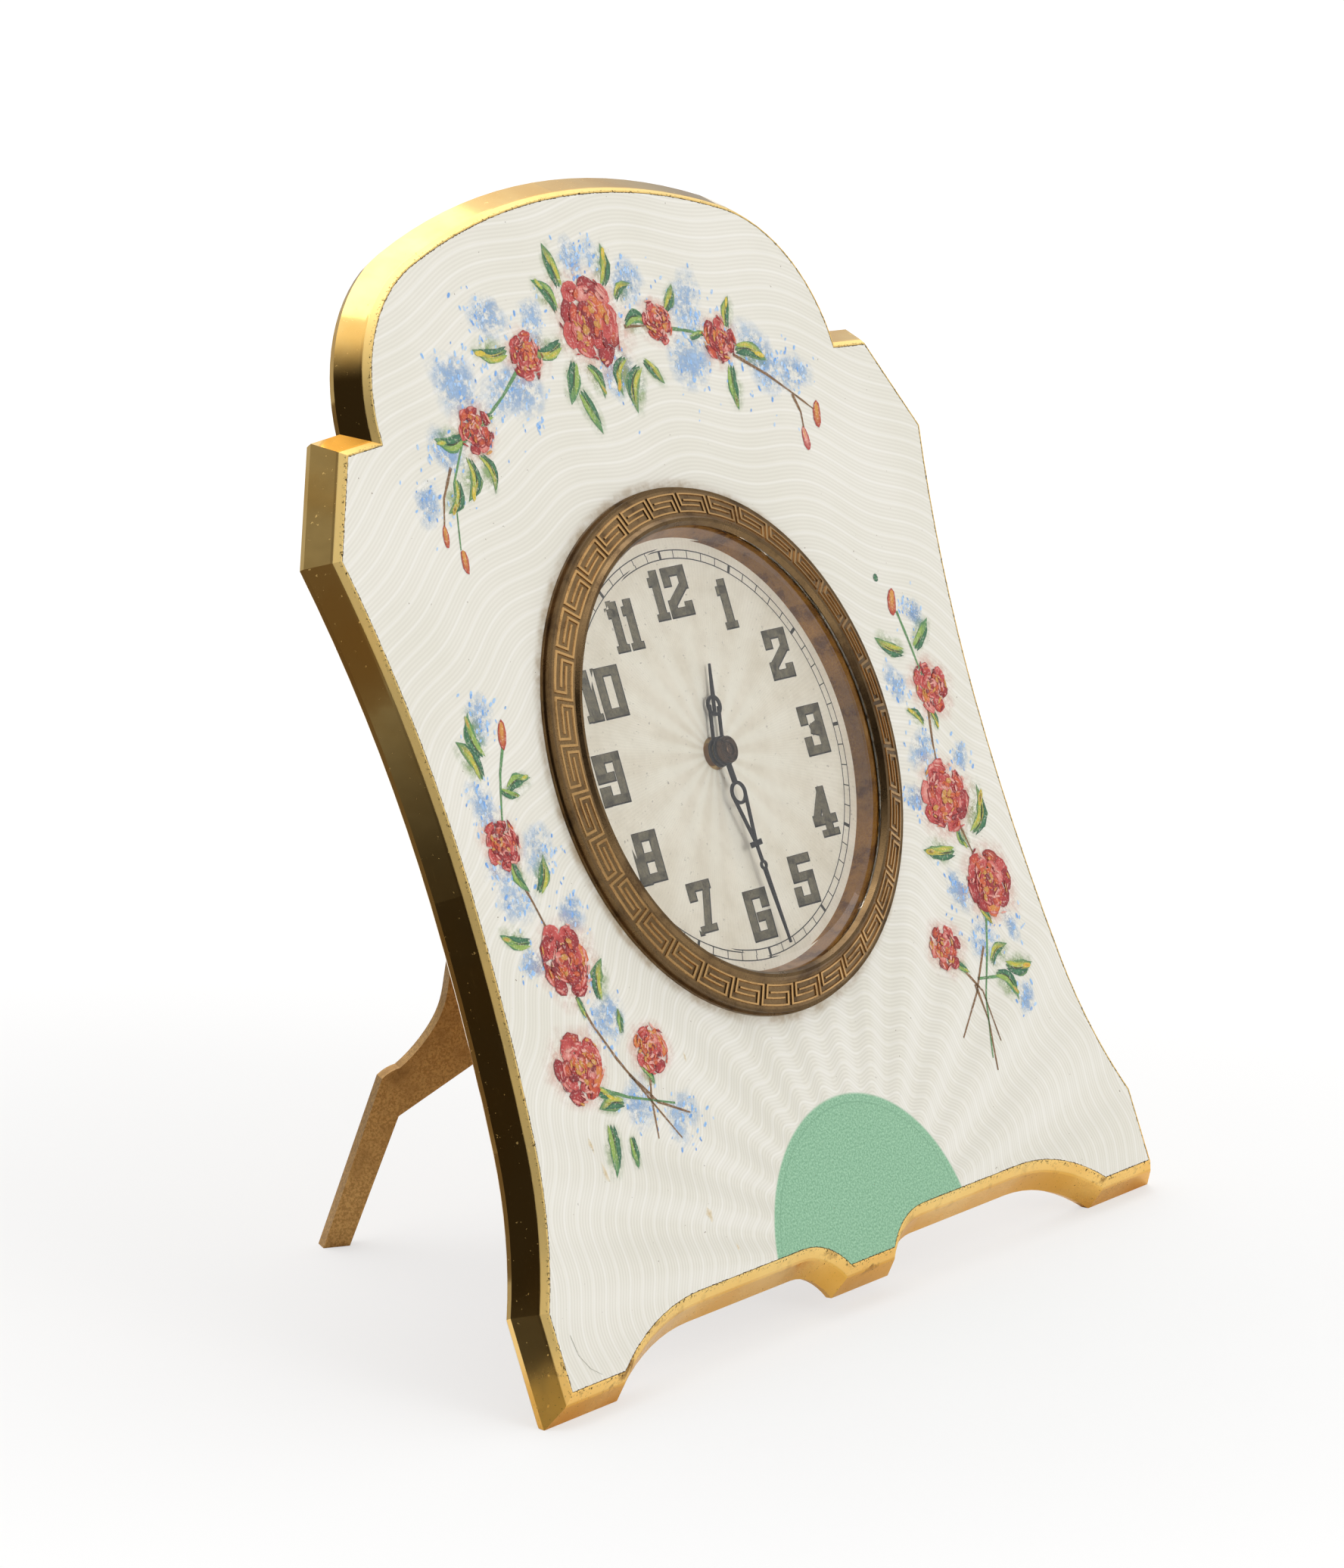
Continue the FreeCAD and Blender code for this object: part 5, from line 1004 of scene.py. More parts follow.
# Across, up, length, direction in degrees, yellow or not.
LEAVES = (
    (-3.6, 42.6, 4.2, 100, 1), (2.2, 42.0, 4.0, 70, 1), (-4.9, 40.6, 3.9, 125, 0), (3.4, 40.6, 3.0, 25, 0),
    (-13.0, 38.2, 4.6, 172, 1), (-5.6, 37.9, 4.4, 186, 0), (9.9, 38.8, 3.0, 50, 1), (3.7, 38.3, 3.4, -6, 0),
    (17.8, 36.2, 3.2, 62, 1), (18.0, 34.2, 4.4, -20, 0), (16.9, 33.0, 4.2, -100, 0), (12.2, 36.0, 2.2, 10, 0),
    (-4.9, 33.6, 4.4, -72, 0), (-4.6, 36.2, 4.2, -118, 0), (-3.0, 35.6, 3.4, -70, 0),
    (2.6, 35.6, 3.8, -120, 1), (4.2, 34.6, 4.6, -118, 1), (4.8, 35.0, 3.2, -50, 0),
    (-17.4, 33.0, 2.2, 200, 0), (-22.0, 31.8, 3.8, 176, 0), (-22.2, 30.0, 4.0, -112, 0),
    (-20.6, 30.0, 3.6, -80, 1), (-24.4, 28.4, 3.6, -130, 0),
    (-31.5, 5.0, 4.0, 96, 0), (-32.4, 3.2, 4.2, 118, 1), (-29.8, 1.8, 3.4, 10, 0), (-30.6, 2.0, 2.4, -20, 0),
    (-31.8, -3.8, 3.2, -70, 0), (-29.6, -7.2, 3.6, 58, 1), (-32.4, -10.9, 3.8, 160, 0),
    (-25.9, -17.4, 3.8, 64, 1), (-28.7, -16.4, 2.0, -80, 0), (-23.2, -23.6, 2.2, -60, 0),
    (-30.2, -24.3, 2.8, -30, 0), (-26.6, -26.2, 3.4, 176, 1), (-29.2, -27.4, 4.6, -104, 0),
    (-27.0, -29.0, 2.8, -96, 0), (-24.4, -20.6, 2.2, 80, 0),
    (29.6, 4.0, 4.2, 152, 1), (31.2, 4.0, 4.0, 38, 0), (30.8, -1.4, 2.2, -80, 0), (29.4, -2.8, 2.6, 140, 0),
    (31.6, -13.6, 5.0, 56, 1), (28.4, -14.6, 4.6, 168, 1), (29.8, -12.4, 2.4, -70, 0),
    (29.6, -20.0, 2.2, -60, 0), (23.6, -24.0, 2.2, -40, 0), (28.8, -25.4, 3.4, 24, 1),
    (30.8, -25.8, 4.0, -8, 1), (29.0, -26.2, 3.8, -52, 0),
)
# Across, up, length, direction, colour of the tip.
BUDS = (
    (-28.0, 23.8, 1.9, 80, OCHRE), (-26.5, 21.4, 2.2, 84, OCHRE), (27.1, 26.9, 2.6, 70, OCHRE),
    (24.5, 25.0, 2.4, 88, PALE_PINK), (-28.4, 6.5, 2.6, 70, OCHRE), (29.9, 8.7, 2.8, 66, OCHRE),
)
# Spots along each stem.
STEMS = (
    ((-12.4, 36.4), (-15.4, 34.4), (-18.4, 32.8), (-22.5, 31.1), (-25.0, 28.0), (-26.6, 22.4)),
    ((-24.8, 29.4), (-26.8, 27.0), (-27.9, 24.4)),
    ((3.6, 38.2), (6.4, 37.9)),
    ((10.0, 37.2), (12.6, 36.6), (14.2, 36.0)),
    ((17.6, 33.8), (21.6, 31.4), (24.6, 29.2), (26.9, 27.4)),
    ((24.4, 29.2), (24.9, 27.4), (24.6, 25.6)),
    ((-28.4, 6.0), (-30.0, 3.4), (-31.2, 0.4), (-32.0, -2.0)),
    ((-32.0, -4.0), (-30.6, -8.0), (-29.4, -12.0)),
    ((-28.8, -16.4), (-27.8, -19.0), (-26.0, -22.4), (-23.4, -26.4), (-20.6, -30.6)),
    ((-30.0, -24.0), (-26.0, -25.8), (-20.2, -27.6)),
    ((-22.0, -23.8), (-23.0, -26.4), (-23.6, -30.0)),
    ((-25.0, -24.0), (-22.4, -27.0), (-18.6, -28.8)),
    ((30.2, 7.8), (30.7, 5.0), (31.2, 1.4)),
    ((30.6, -1.6), (29.8, -4.6), (29.4, -7.6)),
    ((30.2, -12.4), (31.0, -15.6)),
    ((30.4, -20.4), (28.8, -24.0), (26.6, -28.0), (25.0, -33.4)),
    ((24.2, -24.6), (26.4, -27.4), (26.9, -32.2)),
    ((28.4, -23.6), (25.4, -27.4), (21.6, -30.8)),
    ((26.2, -26.2), (29.2, -26.6), (31.4, -27.4)),
    ((25.6, -26.6), (26.0, -30.0), (25.2, -34.6)),
)
# Across, up, length, width, direction: a green dab with no stem.
LONE_DAB = (28.6, 11.2, 0.7, 0.8, 0)
# Across, up, spread, number of dabs.
BLUE_CLUSTERS = (
    (0.0, 45.0, 1.5, 34), (-15.5, 41.4, 1.7, 24), (-9.2, 40.0, 1.4, 22), (-19.8, 36.0, 2.2, 44),
    (-13.4, 33.6, 2.4, 46), (-25.0, 30.6, 1.6, 26), (-28.2, 26.4, 1.3, 20), (5.8, 42.2, 1.6, 26),
    (13.4, 38.6, 1.9, 34), (11.6, 34.4, 2.0, 36), (21.0, 32.0, 2.2, 42), (25.6, 31.2, 1.5, 24),
    (0.4, 34.0, 1.6, 22), (-30.2, 8.6, 1.3, 28), (-34.6, 1.2, 1.4, 26), (-33.2, -6.2, 1.7, 30),
    (-27.4, -4.0, 1.4, 20), (-33.6, -12.8, 1.1, 16), (-26.4, -9.2, 1.3, 16), (-25.8, -19.4, 1.6, 28),
    (-24.6, -27.2, 1.5, 22), (-19.2, -29.0, 1.4, 24), (32.0, 7.8, 1.1, 18), (27.6, 1.2, 1.2, 18),
    (28.2, -4.6, 1.3, 24), (24.6, -9.0, 1.0, 18), (33.4, -6.4, 1.0, 14), (27.2, -18.4, 1.4, 20),
    (28.6, -22.8, 1.4, 28), (32.2, -29.0, 1.1, 14), (35.2, -22.8, 0.9, 12),
)
# Across, up, length, width.
STAINS = ((-20.0, -37.5, 1.6, 0.9), (-17.2, -24.2, 0.8, 0.3), (-32.4, -28.6, 1.4, 0.5),
          (-31.6, -31.2, 1.8, 0.6), (-17.6, -41.0, 0.7, 0.3))
HAIRLINE = ((-41.9, -42.8), (-41.6, -44.6), (-40.6, -46.0), (-39.4, -46.8))

print("roses:", len(ROSES), "leaves:", len(LEAVES), "stems:", len(STEMS))

# %% [markdown]
# ## Painting the plate
#
# The order is the painter's: first the breath of blue, and the green and rose that bled
# into the glaze round leaves and flowers; then stains and the crack, dabs, stems, leaves
# and flowers on top. All of it could be one mesh, but only soft colour needs a material
# that fades, so the strokes end up in two pieces, one that fades out and one that covers.

# %% Painting the plate
HAZE_SEED = 11
PAINT_SEED = 7
HAZE_EDGE = 33.4
HAZE_LEVELS = (0.008, 0.011)
LEAF_HAZE_LEVELS = (0.0112, 0.0116)
ROSE_HAZE_LEVEL = 0.0118
STAIN_LEVEL = 0.012
STAIN_TURN = 100
CRACK_WIDTHS = (0.09, 0.05)
STEM_LEVEL = 0.021
STEM_WIDTHS = (0.34, 0.16)
LONE_LEVEL = 0.03


def fading(colour, alpha):
    """The same colour, laid on as thinly as alpha says."""
    return colour[:3] + (alpha,)


def paint_haze():
    """The piece that fades out: blue behind the flowers, green and rose round them."""
    haze = Brush(HAZE_SEED)
    for across, up, spread, _ in BLUE_CLUSTERS:
        for _ in range(3):
            x, y = (spot + haze.random.gauss(0, spread * 0.5) for spot in (across, up))
            x = max(-HAZE_EDGE, min(HAZE_EDGE, x))
            haze.dab(x, y, spread * 3.0, spread * 2.2, haze.random.uniform(0, 180), fading(HAZE_BLUE, 0.95),
                     fading(HAZE_BLUE, 0.0), haze.random.uniform(*HAZE_LEVELS), sides=12)
    for across, up, length, angle, _ in LEAVES:
        haze.dab(*beside(across, up, length / 2, angle), length * 1.3, length * 0.64, angle,
                 fading(HAZE_GREEN, 0.9), fading(HAZE_GREEN, 0.0), haze.random.uniform(*LEAF_HAZE_LEVELS),
                 sides=12)
    for across, up, radius, _ in ROSES:
        haze.dab(across, up, radius * 2.9, radius * 2.7, 0, fading(HAZE_PINK, 1.0), fading(HAZE_PINK, 0.0),
                 ROSE_HAZE_LEVEL, sides=16)
    return haze.sheet.piece("painted_haze", HAZE, "case", "enamel")


def paint_flowers():
    """The piece that covers: stains, the crack, dabs, stems, leaves, roses and buds."""
    brush = Brush(PAINT_SEED)
    for across, up, length, width in STAINS:
        brush.dab(across, up, length, width, STAIN_TURN, STAIN, STAIN_RIM, STAIN_LEVEL, wobble=0.4)
    brush.stroke(HAIRLINE, *CRACK_WIDTHS, CRACK, STAIN_LEVEL)
    for cluster in BLUE_CLUSTERS:
        sprinkle(brush, *cluster)
    for index, stem in enumerate(STEMS):
        brush.stroke(stem, *STEM_WIDTHS, STEM_BROWN if index % 3 else STEM_GREEN, STEM_LEVEL)
    for leaf in LEAVES:
        paint_leaf(brush, *leaf)
    for rose in ROSES:
        paint_rose(brush, *rose)
    for bud in BUDS:
        paint_bud(brush, *bud)
    brush.dab(*LONE_DAB, LEAF_GREEN, LEAF_DARK, LONE_LEVEL)
    return brush.sheet.piece("painted_flowers", PAINT, "case", "enamel")


painted_haze = paint_haze()
painted_flowers = paint_flowers()
print("haze faces:", len(painted_haze.data.polygons), "painted:", len(painted_flowers.data.polygons))

# %% [markdown]
# ## Grime along the joint
#
# Dirt collects where the enamel meets the gilt. A mask in the shader would have to know
# the outline, but the enamel's own mesh tells where it is: edges that belong to a single
# face of its front. Each gets a row of thin dark marks with random widths, and some
# marks are left out, which is what makes it look like dirt.

# %% Grime along the joint
GRIME_SEED = 3
GRIME_WIDTH = 0.11
GRIME_LIFT = 0.006
MARK_LENGTH = 0.5
CLEAN_SHARE = 0.22
HOLE_EDGE = 22.0


def front_rim(node):
    """Edges round the outside of a plate's front face, as pairs of points."""
    mesh = node.data
    used = {}
    for polygon in mesh.polygons:
        if polygon.normal.dot(OUT) > 0.99:
            for key in polygon.edge_keys:
                places = tuple(sorted(tuple(round(value, 7) for value in mesh.vertices[index].co)
                                      for index in key))
                used[places] = used.get(places, 0) + 1
    edges = [[Vector(place) for place in places] for places, count in used.items() if count == 1]
    return [edge for edge in edges if ((edge[0] + edge[1]) / 2 - CENTRE).length > HOLE_EDGE * MM]


def make_grime():
    """Thin marks of uneven width along the rim of the enamel."""
    sheet = Sheet()
    draw = random.Random(GRIME_SEED)
    lift = OUT * (GRIME_LIFT * MM)
    for start, end in front_rim(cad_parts["enamel_panel"]):
        steps = max(1, round((end - start).length / MM / MARK_LENGTH))
        side = (end - start).normalized().cross(OUT)
        for step in range(steps):
            if draw.random() < CLEAN_SHARE:
                continue
            first = start.lerp(end, (step + draw.uniform(0, 0.35)) / steps)
            last = start.lerp(end, (step + draw.uniform(0.65, 1.0)) / steps)
            half = GRIME_WIDTH * MM * draw.uniform(0.25, 1.0) / 2
            mark = (first - side * half, last - side * half * 0.6,
                    last + side * half, first + side * half * 0.7)
            sheet.face([corner + lift for corner in mark])
    return sheet.piece("joint_grime", GRIME, "case", "enamel")


joint_grime = make_grime()
print("grime marks:", len(joint_grime.data.polygons))

# %% [markdown]
# ## Greek key on the bezel
#
# The band between the two rims carries a meander in low relief. A motif is drawn once,
# in shares of its own pitch and of the band's width, as bars along and across the
# band. Two hooks interlock, and an upright bar joins each motif to the next. A bump
# would do from afar; real bars catch the light along their bevels at any distance.

# %% Greek key on the bezel
MOTIFS = 34
BAND_OUTER = (23.25, 0.9)
BAND_INNER = (20.9, 1.45)
KEY_RELIEF = 0.1
KEY_HALF_ALONG = 0.028
KEY_HALF_ACROSS = 0.046
KEY_BEVEL = 0.35
KEY_STEP = 2.5
KEY_BARS = (
    ((0.0, 0.14), (0.0, 0.86)),
    ((0.0, 0.14), (0.86, 0.14)), ((0.86, 0.14), (0.86, 0.6)), ((0.86, 0.6), (0.28, 0.6)),
    ((1.0, 0.86), (0.14, 0.86)), ((0.14, 0.86), (0.14, 0.4)), ((0.14, 0.4), (0.72, 0.4)),
)


def on_band(angle, share, lift):
    """A point of the sloping band, a share of the way in from its outer edge."""
    radius = BAND_OUTER[0] + (BAND_INNER[0] - BAND_OUTER[0]) * share
    height = BAND_OUTER[1] + (BAND_INNER[1] - BAND_OUTER[1]) * share
    return polar(angle, radius, height + lift)


def key_bar(sheet, angles, shares):
    """A raised bar over a range of angles and shares of the band."""
    steps = max(1, math.ceil((angles[1] - angles[0]) / KEY_STEP))
    bevel = KEY_HALF_ACROSS * KEY_BEVEL
    outer, inner = shares
    profile = ((outer, 0), (outer + bevel, KEY_RELIEF), (inner - bevel, KEY_RELIEF), (inner, 0))
    rows = []
    for step in range(steps + 1):
        angle = angles[0] + (angles[1] - angles[0]) * step / steps
        rows.append([on_band(angle, share, lift) for share, lift in profile])
    sheet.strip(rows)
    sheet.face(rows[0][::-1])
    sheet.face(rows[-1])


def make_greek_key():
    """All motifs as one piece on the case."""
    sheet = Sheet()
    pitch = 360 / MOTIFS
    for motif in range(MOTIFS):
        for (start, start_share), (end, end_share) in KEY_BARS:
            low, high = sorted((start, end))
            inner, outer = sorted((start_share, end_share))
            angles = ((motif + low - KEY_HALF_ALONG) * pitch, (motif + high + KEY_HALF_ALONG) * pitch)
            key_bar(sheet, angles, (inner - KEY_HALF_ACROSS, outer + KEY_HALF_ACROSS))
    return sheet.piece("greek_key", BRONZE_RELIEF, "case", "bronzed_brass")


greek_key = make_greek_key()
print("key faces:", len(greek_key.data.polygons))

# %% [markdown]
# ## Printing on the dial
#
# The numerals are blocky, with thinner level strokes and small feet. A font could be
# turned into a mesh, but no common font has these shapes, so a digit is a few straight
# strokes in a box one unit wide and one high, and its size is given apart.

# %% Printing on the dial
DIGITS = {
    "0": (((0, 0), (0, 1), (1, 1), (1, 0), (0, 0)),),
    "1": (((0.5, 0), (0.5, 1)), ((0.0, 0.84), (0.5, 0.84))),
    "2": (((0, 0.76), (0, 1), (1, 1), (1, 0.64), (0, 0.22), (0, 0), (1, 0), (1, 0.12)),),
    "3": (((0, 0.76), (0, 1), (1, 1), (1, 0.62), (0.45, 0.52), (1, 0.42), (1, 0), (0, 0), (0, 0.24)),),
    "4": (((0.7, 0), (0.7, 1), (0, 0.34), (0, 0.3), (1.05, 0.3)),),
    "5": (((1, 1), (0.08, 1), (0.08, 0.57), (1, 0.57), (1, 0), (0, 0), (0, 0.24)),),
    "6": (((1, 0.76), (1, 1), (0, 1), (0, 0), (1, 0), (1, 0.45), (0.55, 0.45)),),
    "7": (((0, 0.78), (0, 1), (1, 1), (0.45, 0)),),
    "8": (((0, 0), (0, 1), (1, 1), (1, 0), (0, 0)), ((0, 0.5), (1, 0.5))),
    "9": (((0, 0.24), (0, 0), (1, 0), (1, 1), (0, 1), (0, 0.55), (0.45, 0.55)),),
}
FOOT_SERIFS = {"1": (-0.12, 1.12), "4": (0.32, 1.08), "7": (0.14, 0.84)}
DIGIT_HEIGHT = 3.7
DIGIT_WIDTH = 2.2
NARROW_WIDTH = 0.8
DIGIT_STROKE = 0.95
LEVEL_STROKE = 0.7
SLANT_END = 0.22
SERIF_STROKE = 0.5
DIGIT_GAP = 0.3


def stroke_quad(start, end, width, reach):
    """Corners of a straight stroke that runs past both its ends by a reach."""
    along = (Vector(end) - Vector(start)).normalized()
    side = Vector((-along.y, along.x)) * (width / 2)
    first = Vector(start) - along * reach
    last = Vector(end) + along * reach
    return [first + side, first - side, last - side, last + side]


def stroke_size(start, end):
    """Width of a stroke and how far it runs on: level strokes are thinner than upright ones."""
    if start[1] == end[1]:
        return LEVEL_STROKE, DIGIT_STROKE / 2
    if start[0] == end[0]:
        return DIGIT_STROKE, LEVEL_STROKE / 2
    return (DIGIT_STROKE + LEVEL_STROKE) / 2, SLANT_END


def digit_strokes(digit):
    """Strokes of a digit in millimetres, as start, end, width and reach, and the digit's width."""
    wide = NARROW_WIDTH if digit == "1" else DIGIT_WIDTH
    strokes = []
    for line in DIGITS[digit]:
        for start, end in zip(line, line[1:]):
            first, last = ((share * wide, height * DIGIT_HEIGHT) for share, height in (start, end))
            strokes.append((first, last, *stroke_size(start, end)))
    if digit in FOOT_SERIFS:
        low, high = FOOT_SERIFS[digit]
        level = (SERIF_STROKE - LEVEL_STROKE) / 2
        strokes.append(((low * wide, level), (high * wide, level), SERIF_STROKE, DIGIT_STROKE / 3))
    return strokes, wide


print("strokes of each digit:", {digit: len(digit_strokes(digit)[0]) for digit in DIGITS})

# %% [markdown]
# ## The twelve numerals
#
# Each numeral stands upright at its hour, not turned towards the centre. Every stroke
# is placed twice: wider and dark just above the plate, then narrower and olive over it.
# The dark one is shifted a little to the lower right: its edge all round is print, and
# the thicker part at the lower right is a painted shadow.

# %% The twelve numerals
NUMERAL_RADIUS = 14.6
EDGE_WIDTH = 0.1
EDGE_LIFT = 0.015
FILL_LIFT = 0.03


def make_numerals():
    """The olive filling and the dark edge of the numerals, as two pieces on the case."""
    fill, edge = Sheet(), Sheet()
    turn = math.radians(-DIAL_TURN)
    for hour in range(1, 13):
        digits = [digit_strokes(digit) for digit in str(hour)]
        total = sum(wide for _, wide in digits) + (len(digits) - 1) * (DIGIT_STROKE + DIGIT_GAP)
        bearing = math.radians(90 - 30 * hour)
        left = NUMERAL_RADIUS * math.cos(bearing) - total / 2
        low = NUMERAL_RADIUS * math.sin(bearing) - DIGIT_HEIGHT / 2

        def placed(corner, shift, lift):
            """A corner on the dial, shifted to the lower right."""
            return on_front(*turned(left + corner.x + shift, low + corner.y - shift, turn), DIAL_FACE + lift)

        for strokes, wide in digits:
            for start, end, width, reach in strokes:
                quad = stroke_quad(start, end, width, reach)
                wider = stroke_quad(start, end, width + EDGE_WIDTH * 2, reach + EDGE_WIDTH)
                fill.face([placed(corner, 0, FILL_LIFT) for corner in quad])
                # The dark edge is print; its shift to the lower right makes a painted shadow there.
                edge.face([placed(corner, EDGE_WIDTH / 2, EDGE_LIFT) for corner in wider])
            left += wide + DIGIT_STROKE + DIGIT_GAP
    return (fill.piece("numerals", NUMERAL_FILL, "case", "dial_silver"),
            edge.piece("numeral_edges", NUMERAL_EDGE, "case", "dial_silver"))


numerals, numeral_edges = make_numerals()
print("numeral faces:", len(numerals.data.polygons), "and as many edges:", len(numeral_edges.data.polygons))

# %% [markdown]
# ## The minute track
#
# Two thin rings and sixty bars between them, with a heavier bar every five minutes.
# They are printed flat, so thin faces a hundredth of a millimetre above the plate are
# enough.

# %% The minute track
TRACK_OUTER = 18.35
TRACK_INNER = 17.6
TRACK_STEPS = 180
TRACK_LIFT = 0.01
PRINT_LINE = 0.1
HEAVY_BAR = 3.2


def make_minute_track():
    """Two rings and sixty bars as one piece on the case."""
    sheet = Sheet()
    lift = DIAL_FACE + TRACK_LIFT
    half = PRINT_LINE / 2
    for radius in (TRACK_INNER, TRACK_OUTER):
        sheet.strip([[polar(360 * step / TRACK_STEPS, radius + side, lift) for side in (-half, half)]
                     for step in range(TRACK_STEPS + 1)])
    for minute in range(60):
        width = PRINT_LINE * (HEAVY_BAR if minute % 5 == 0 else 1.0)
        angle = math.radians(90 - 6 * minute - DIAL_TURN)
        direction = Vector((math.cos(angle), math.sin(angle)))
        bar = stroke_quad(direction * TRACK_INNER, direction * TRACK_OUTER, width, 0)
        sheet.face([on_front(corner.x, corner.y, lift) for corner in bar])
    return sheet.piece("minute_track", NUMERAL_EDGE, "case", "dial_silver")


minute_track = make_minute_track()
print("track faces:", len(minute_track.data.polygons))

# %% [markdown]
# ## Rings on the cap of the hands
#
# The round nut over the hands is turned with fine ridges. They could be a bump, but a
# low profile swept round the axis gives true highlights for very few faces. The ridges
# ride with the hands.

# %% Rings on the cap of the hands
CAP_FACE = 0.4
CAP_STEPS = 36
RIDGE_HEIGHT = 0.05
RIDGE_SLOPE = 0.25
# Outer and inner radius of each ridge.
RIDGES = ((1.12, 0.98), (0.78, 0.66), (0.34, 0.0))


def make_cap_rings():
    """Low ridges on the nut, on the body that turns with the hands."""
    sheet = Sheet()
    for outer, inner in RIDGES:
        slope = (outer - inner) * RIDGE_SLOPE
        profile = ((outer, 0.0), (outer - slope, RIDGE_HEIGHT), (inner + slope, RIDGE_HEIGHT), (inner, 0.0))
        sheet.strip([[polar(360 * step / CAP_STEPS, radius, CAP_FACE + height) for radius, height in profile]
                     for step in range(CAP_STEPS + 1)])
    return sheet.piece("cap_rings", CAP_METAL, "hands_arbor", "blued_steel")


cap_rings = make_cap_rings()
print("cap faces:", len(cap_rings.data.polygons))

# %% [markdown]
# ## The pale floor
#
# The clock stands on a white sweep. The camera sees the floor partly lit and partly
# glowing, which keeps the shadow faint, as a light table does. Polished metal, though,
# needs something dark to show: for reflections alone, the floor is dark towards the
# left and the back.

# %% The pale floor
FLOOR_REACH = 6.0
FLOOR_TONES = ((0.85, 0.85, 0.85, 1.0), (0.88, 0.88, 0.88, 1.0))
FLOOR_SEEN = (0.3, 0.3, 0.3, 1.0)
FLOOR_DIM = (0.1, 0.075, 0.05, 1.0)
DIM_SIDE = Vector((-0.8, 0.6, 0.0))
DIM_REACH = (0.04, 0.1)
GLOW_REACH = (0.05, 0.2)
GLOW = (0.6, 0.72)


def make_floor():
    """A pale floor that glows a little for the camera and is dim in some reflections."""
    mesh = bpy.data.meshes.new("floor")
    corners = ((-1, -1), (1, -1), (1, 1), (-1, 1))
    mesh.from_pydata([(x * FLOOR_REACH, y * FLOOR_REACH, 0) for x, y in corners], [], [(0, 1, 2, 3)])
    made, graph, shader = surface("floor")
    spot = graph.add("TexCoord").outputs["Object"]
    ray = graph.add("LightPath").outputs
    away = graph.measure("DOT_PRODUCT", spot, DIM_SIDE)
    dim = graph.math("MULTIPLY", graph.ease(away, *DIM_REACH), ray["Is Glossy Ray"])
    pale = graph.mix(graph.noise(spot, 3.0, 2.0), *FLOOR_TONES)
    pale = graph.mix(ray["Is Camera Ray"], pale, FLOOR_SEEN)
    glow = graph.ease(graph.measure("LENGTH", spot), *GLOW_REACH, *GLOW)
    graph.feed(shader.inputs["Base Color"], graph.mix(dim, pale, FLOOR_DIM))
    graph.feed(shader.inputs["Emission Strength"], graph.math("MULTIPLY", ray["Is Camera Ray"], glow))
    shader.inputs["Emission Color"].default_value = (1.0, 1.0, 1.0, 1.0)
    shader.inputs["Roughness"].default_value = 0.9
    shader.inputs["Specular IOR Level"].default_value = 0.1
    mesh.materials.append(made)
    floor = bpy.data.objects.new("floor", mesh)
    bpy.context.collection.objects.link(floor)
    floor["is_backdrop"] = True


make_floor()
print("floor reaches", FLOOR_REACH, "m")

# %% [markdown]
# ## The room
#
# Polished gilt has no look of its own, only that of the room. So the world is white
# overhead, dimmer near the horizon and nearly black in one patch, high at the front
# left; without that darkness the metal would look like yellow plastic. A photographed
# room would also do, but three plain tones are easier to aim.

# %% The room
HORIZON = (0.42, 0.42, 0.42, 1.0)
OVERHEAD = (1.16, 1.15, 1.13, 1.0)
DARK_PATCH = (0.025, 0.02, 0.015, 1.0)
DARK_TOWARDS = Vector((-0.72, -0.45, 0.53)).normalized()
HEIGHTS = (0.05, 0.75)
PATCH_SPREAD = (0.72, 0.95)


def make_room():
    """The world: pale overhead, grey at the horizon, and one dark patch."""
    world = bpy.data.worlds.new("room")
    world.use_nodes = True
    world.node_tree.nodes.clear()
    graph = Graph(world.node_tree)
    direction = graph.add("TexCoord").outputs["Generated"]
    towards = graph.measure("DOT_PRODUCT", direction, DARK_TOWARDS)
    height = graph.add("SeparateXYZ", {0: direction}).outputs[2]
    colour = graph.mix(graph.ease(height, *HEIGHTS), HORIZON, OVERHEAD)
    colour = graph.mix(graph.ease(towards, *PATCH_SPREAD), colour, DARK_PATCH)
    light = graph.add("Background", {"Color": colour, "Strength": 1.0})
    end = graph.add("OutputWorld")
    graph.feed(end.inputs["Surface"], light.outputs[0])
    bpy.context.scene.world = world


make_room()
print("world:", bpy.context.scene.world.name)

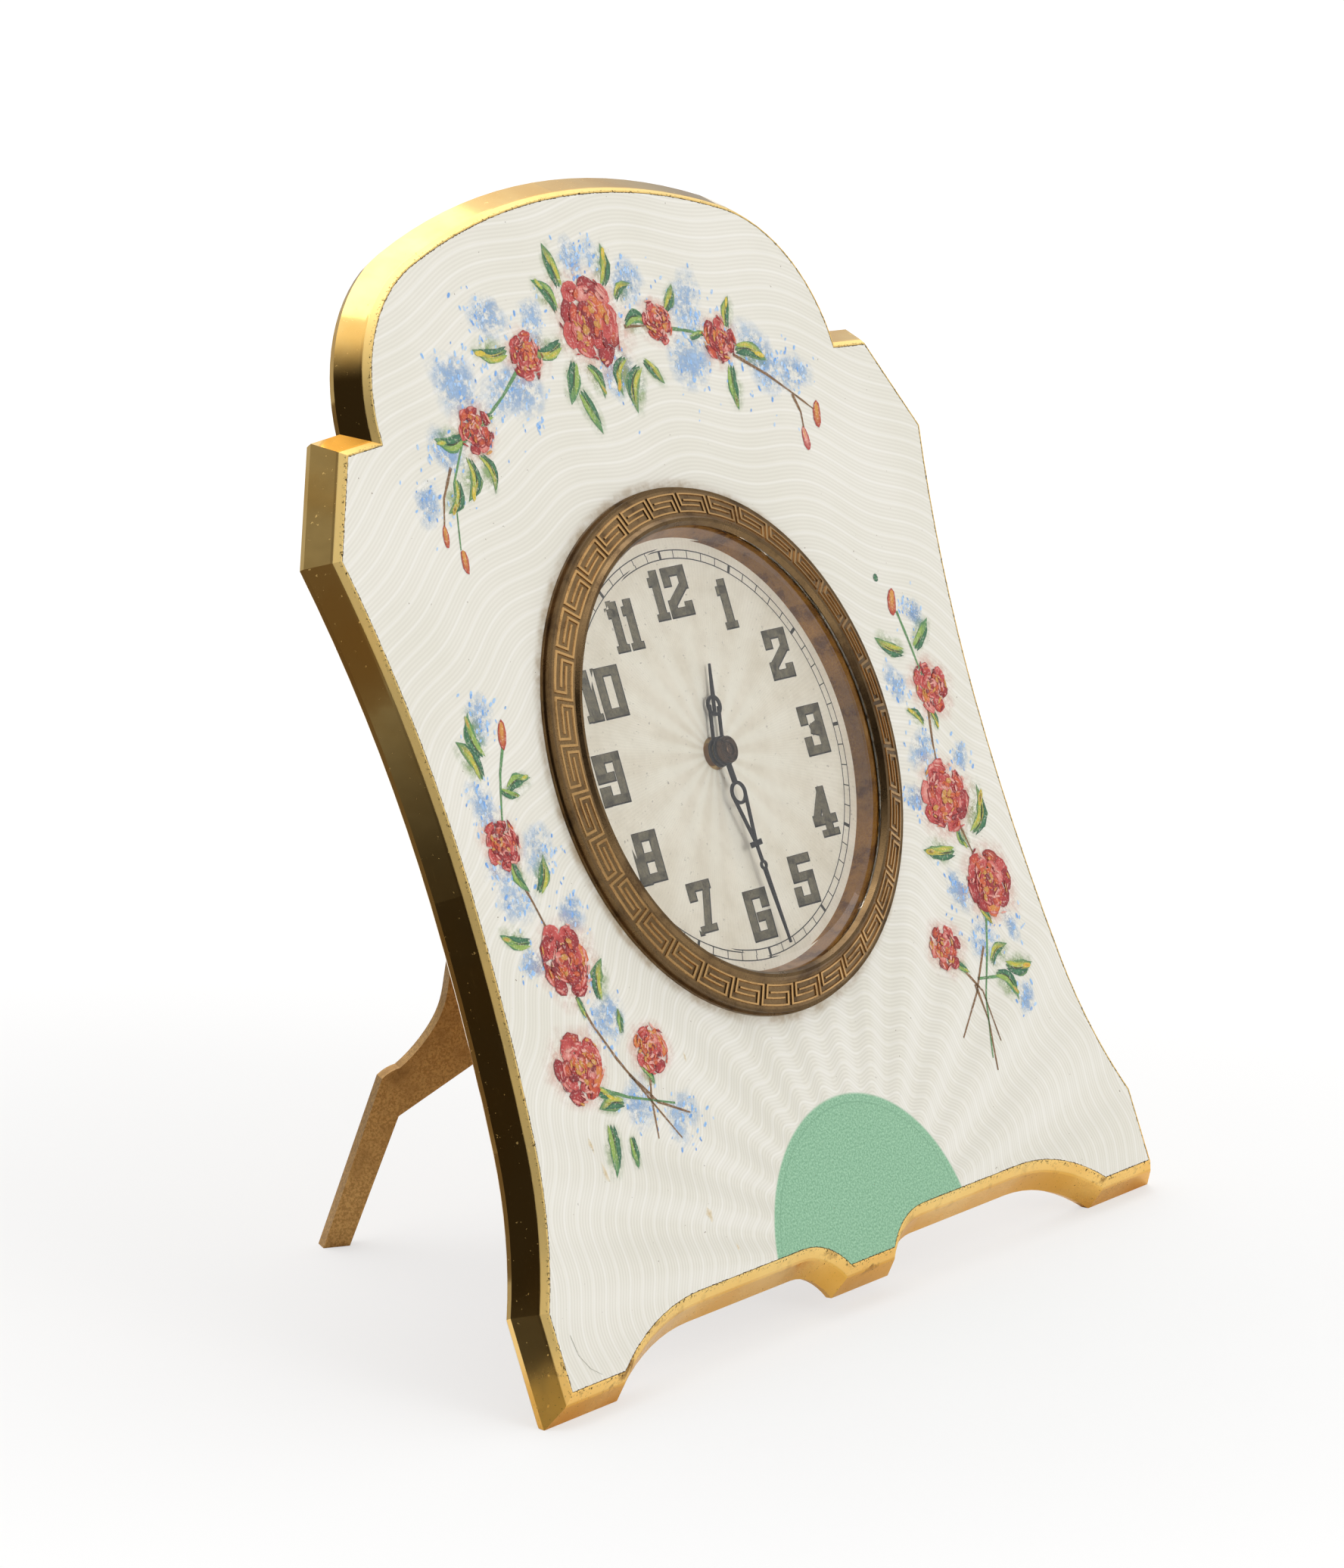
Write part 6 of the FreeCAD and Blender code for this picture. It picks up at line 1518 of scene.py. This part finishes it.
# %% [markdown]
# ## Two soft lamps
#
# A broad sun from above gives the soft shadow, and a weaker one from the front fills
# the face. Suns are used because their light is even over the whole front, like that of
# large studio boxes.

# %% Two soft lamps
def make_sun(name, towards, strength, spread):
    """A sun lamp that shines towards a direction, as wide as its spread in degrees."""
    lamp = bpy.data.lights.new(name, "SUN")
    lamp.energy = strength
    lamp.angle = math.radians(spread)
    made = bpy.data.objects.new(name, lamp)
    made.rotation_euler = Vector(towards).to_track_quat("-Z", "Y").to_euler()
    bpy.context.collection.objects.link(made)
    made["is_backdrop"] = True


make_sun("key_light", (-0.25, -0.35, -0.9), 1.0, 60)
make_sun("front_light", (0.05, 0.93, -0.37), 0.7, 26)
print("lamps:", len(bpy.data.lights))

# %% [markdown]
# ## The camera
#
# The camera's place was found from the dial's minute marks and the symmetric corners
# of the front, by fitting a pinhole camera to them. It is a long lens from the left and
# slightly above, so upright edges stay nearly parallel.

# %% The camera
CAMERA_PLACE = (-0.46577, -0.35114, 0.17470)
CAMERA_AIM = (0.7813, 0.5841, -0.2201)
FOCAL_LENGTH = 155.57
SENSOR_HEIGHT = 36.0

camera_data = bpy.data.cameras.new("camera")
camera_data.sensor_fit = "VERTICAL"
camera_data.sensor_height = SENSOR_HEIGHT
camera_data.lens = FOCAL_LENGTH
camera_data.clip_start = 0.01
camera_data.clip_end = 50.0
camera = bpy.data.objects.new("camera", camera_data)
camera.location = CAMERA_PLACE
camera.rotation_euler = Vector(CAMERA_AIM).to_track_quat("-Z", "Y").to_euler()
bpy.context.collection.objects.link(camera)
bpy.context.scene.camera = camera
bpy.context.scene.view_settings.view_transform = "Standard"

print("camera:", FOCAL_LENGTH, "mm lens")

# %% [markdown]
# ## Sizes and the last line
#
# The dressed clock must not be larger than the CAD model. The boxes of the CAD model
# and of the dressed clock are shown side by side as the last line.

# %% Sizes and the last line
def plain(value):
    """Nested lists of plain numbers."""
    try:
        return [plain(item) for item in value]
    except TypeError:
        return float(value)


{"cad": plain(CAD_BOX), "visual": plain(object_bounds())}
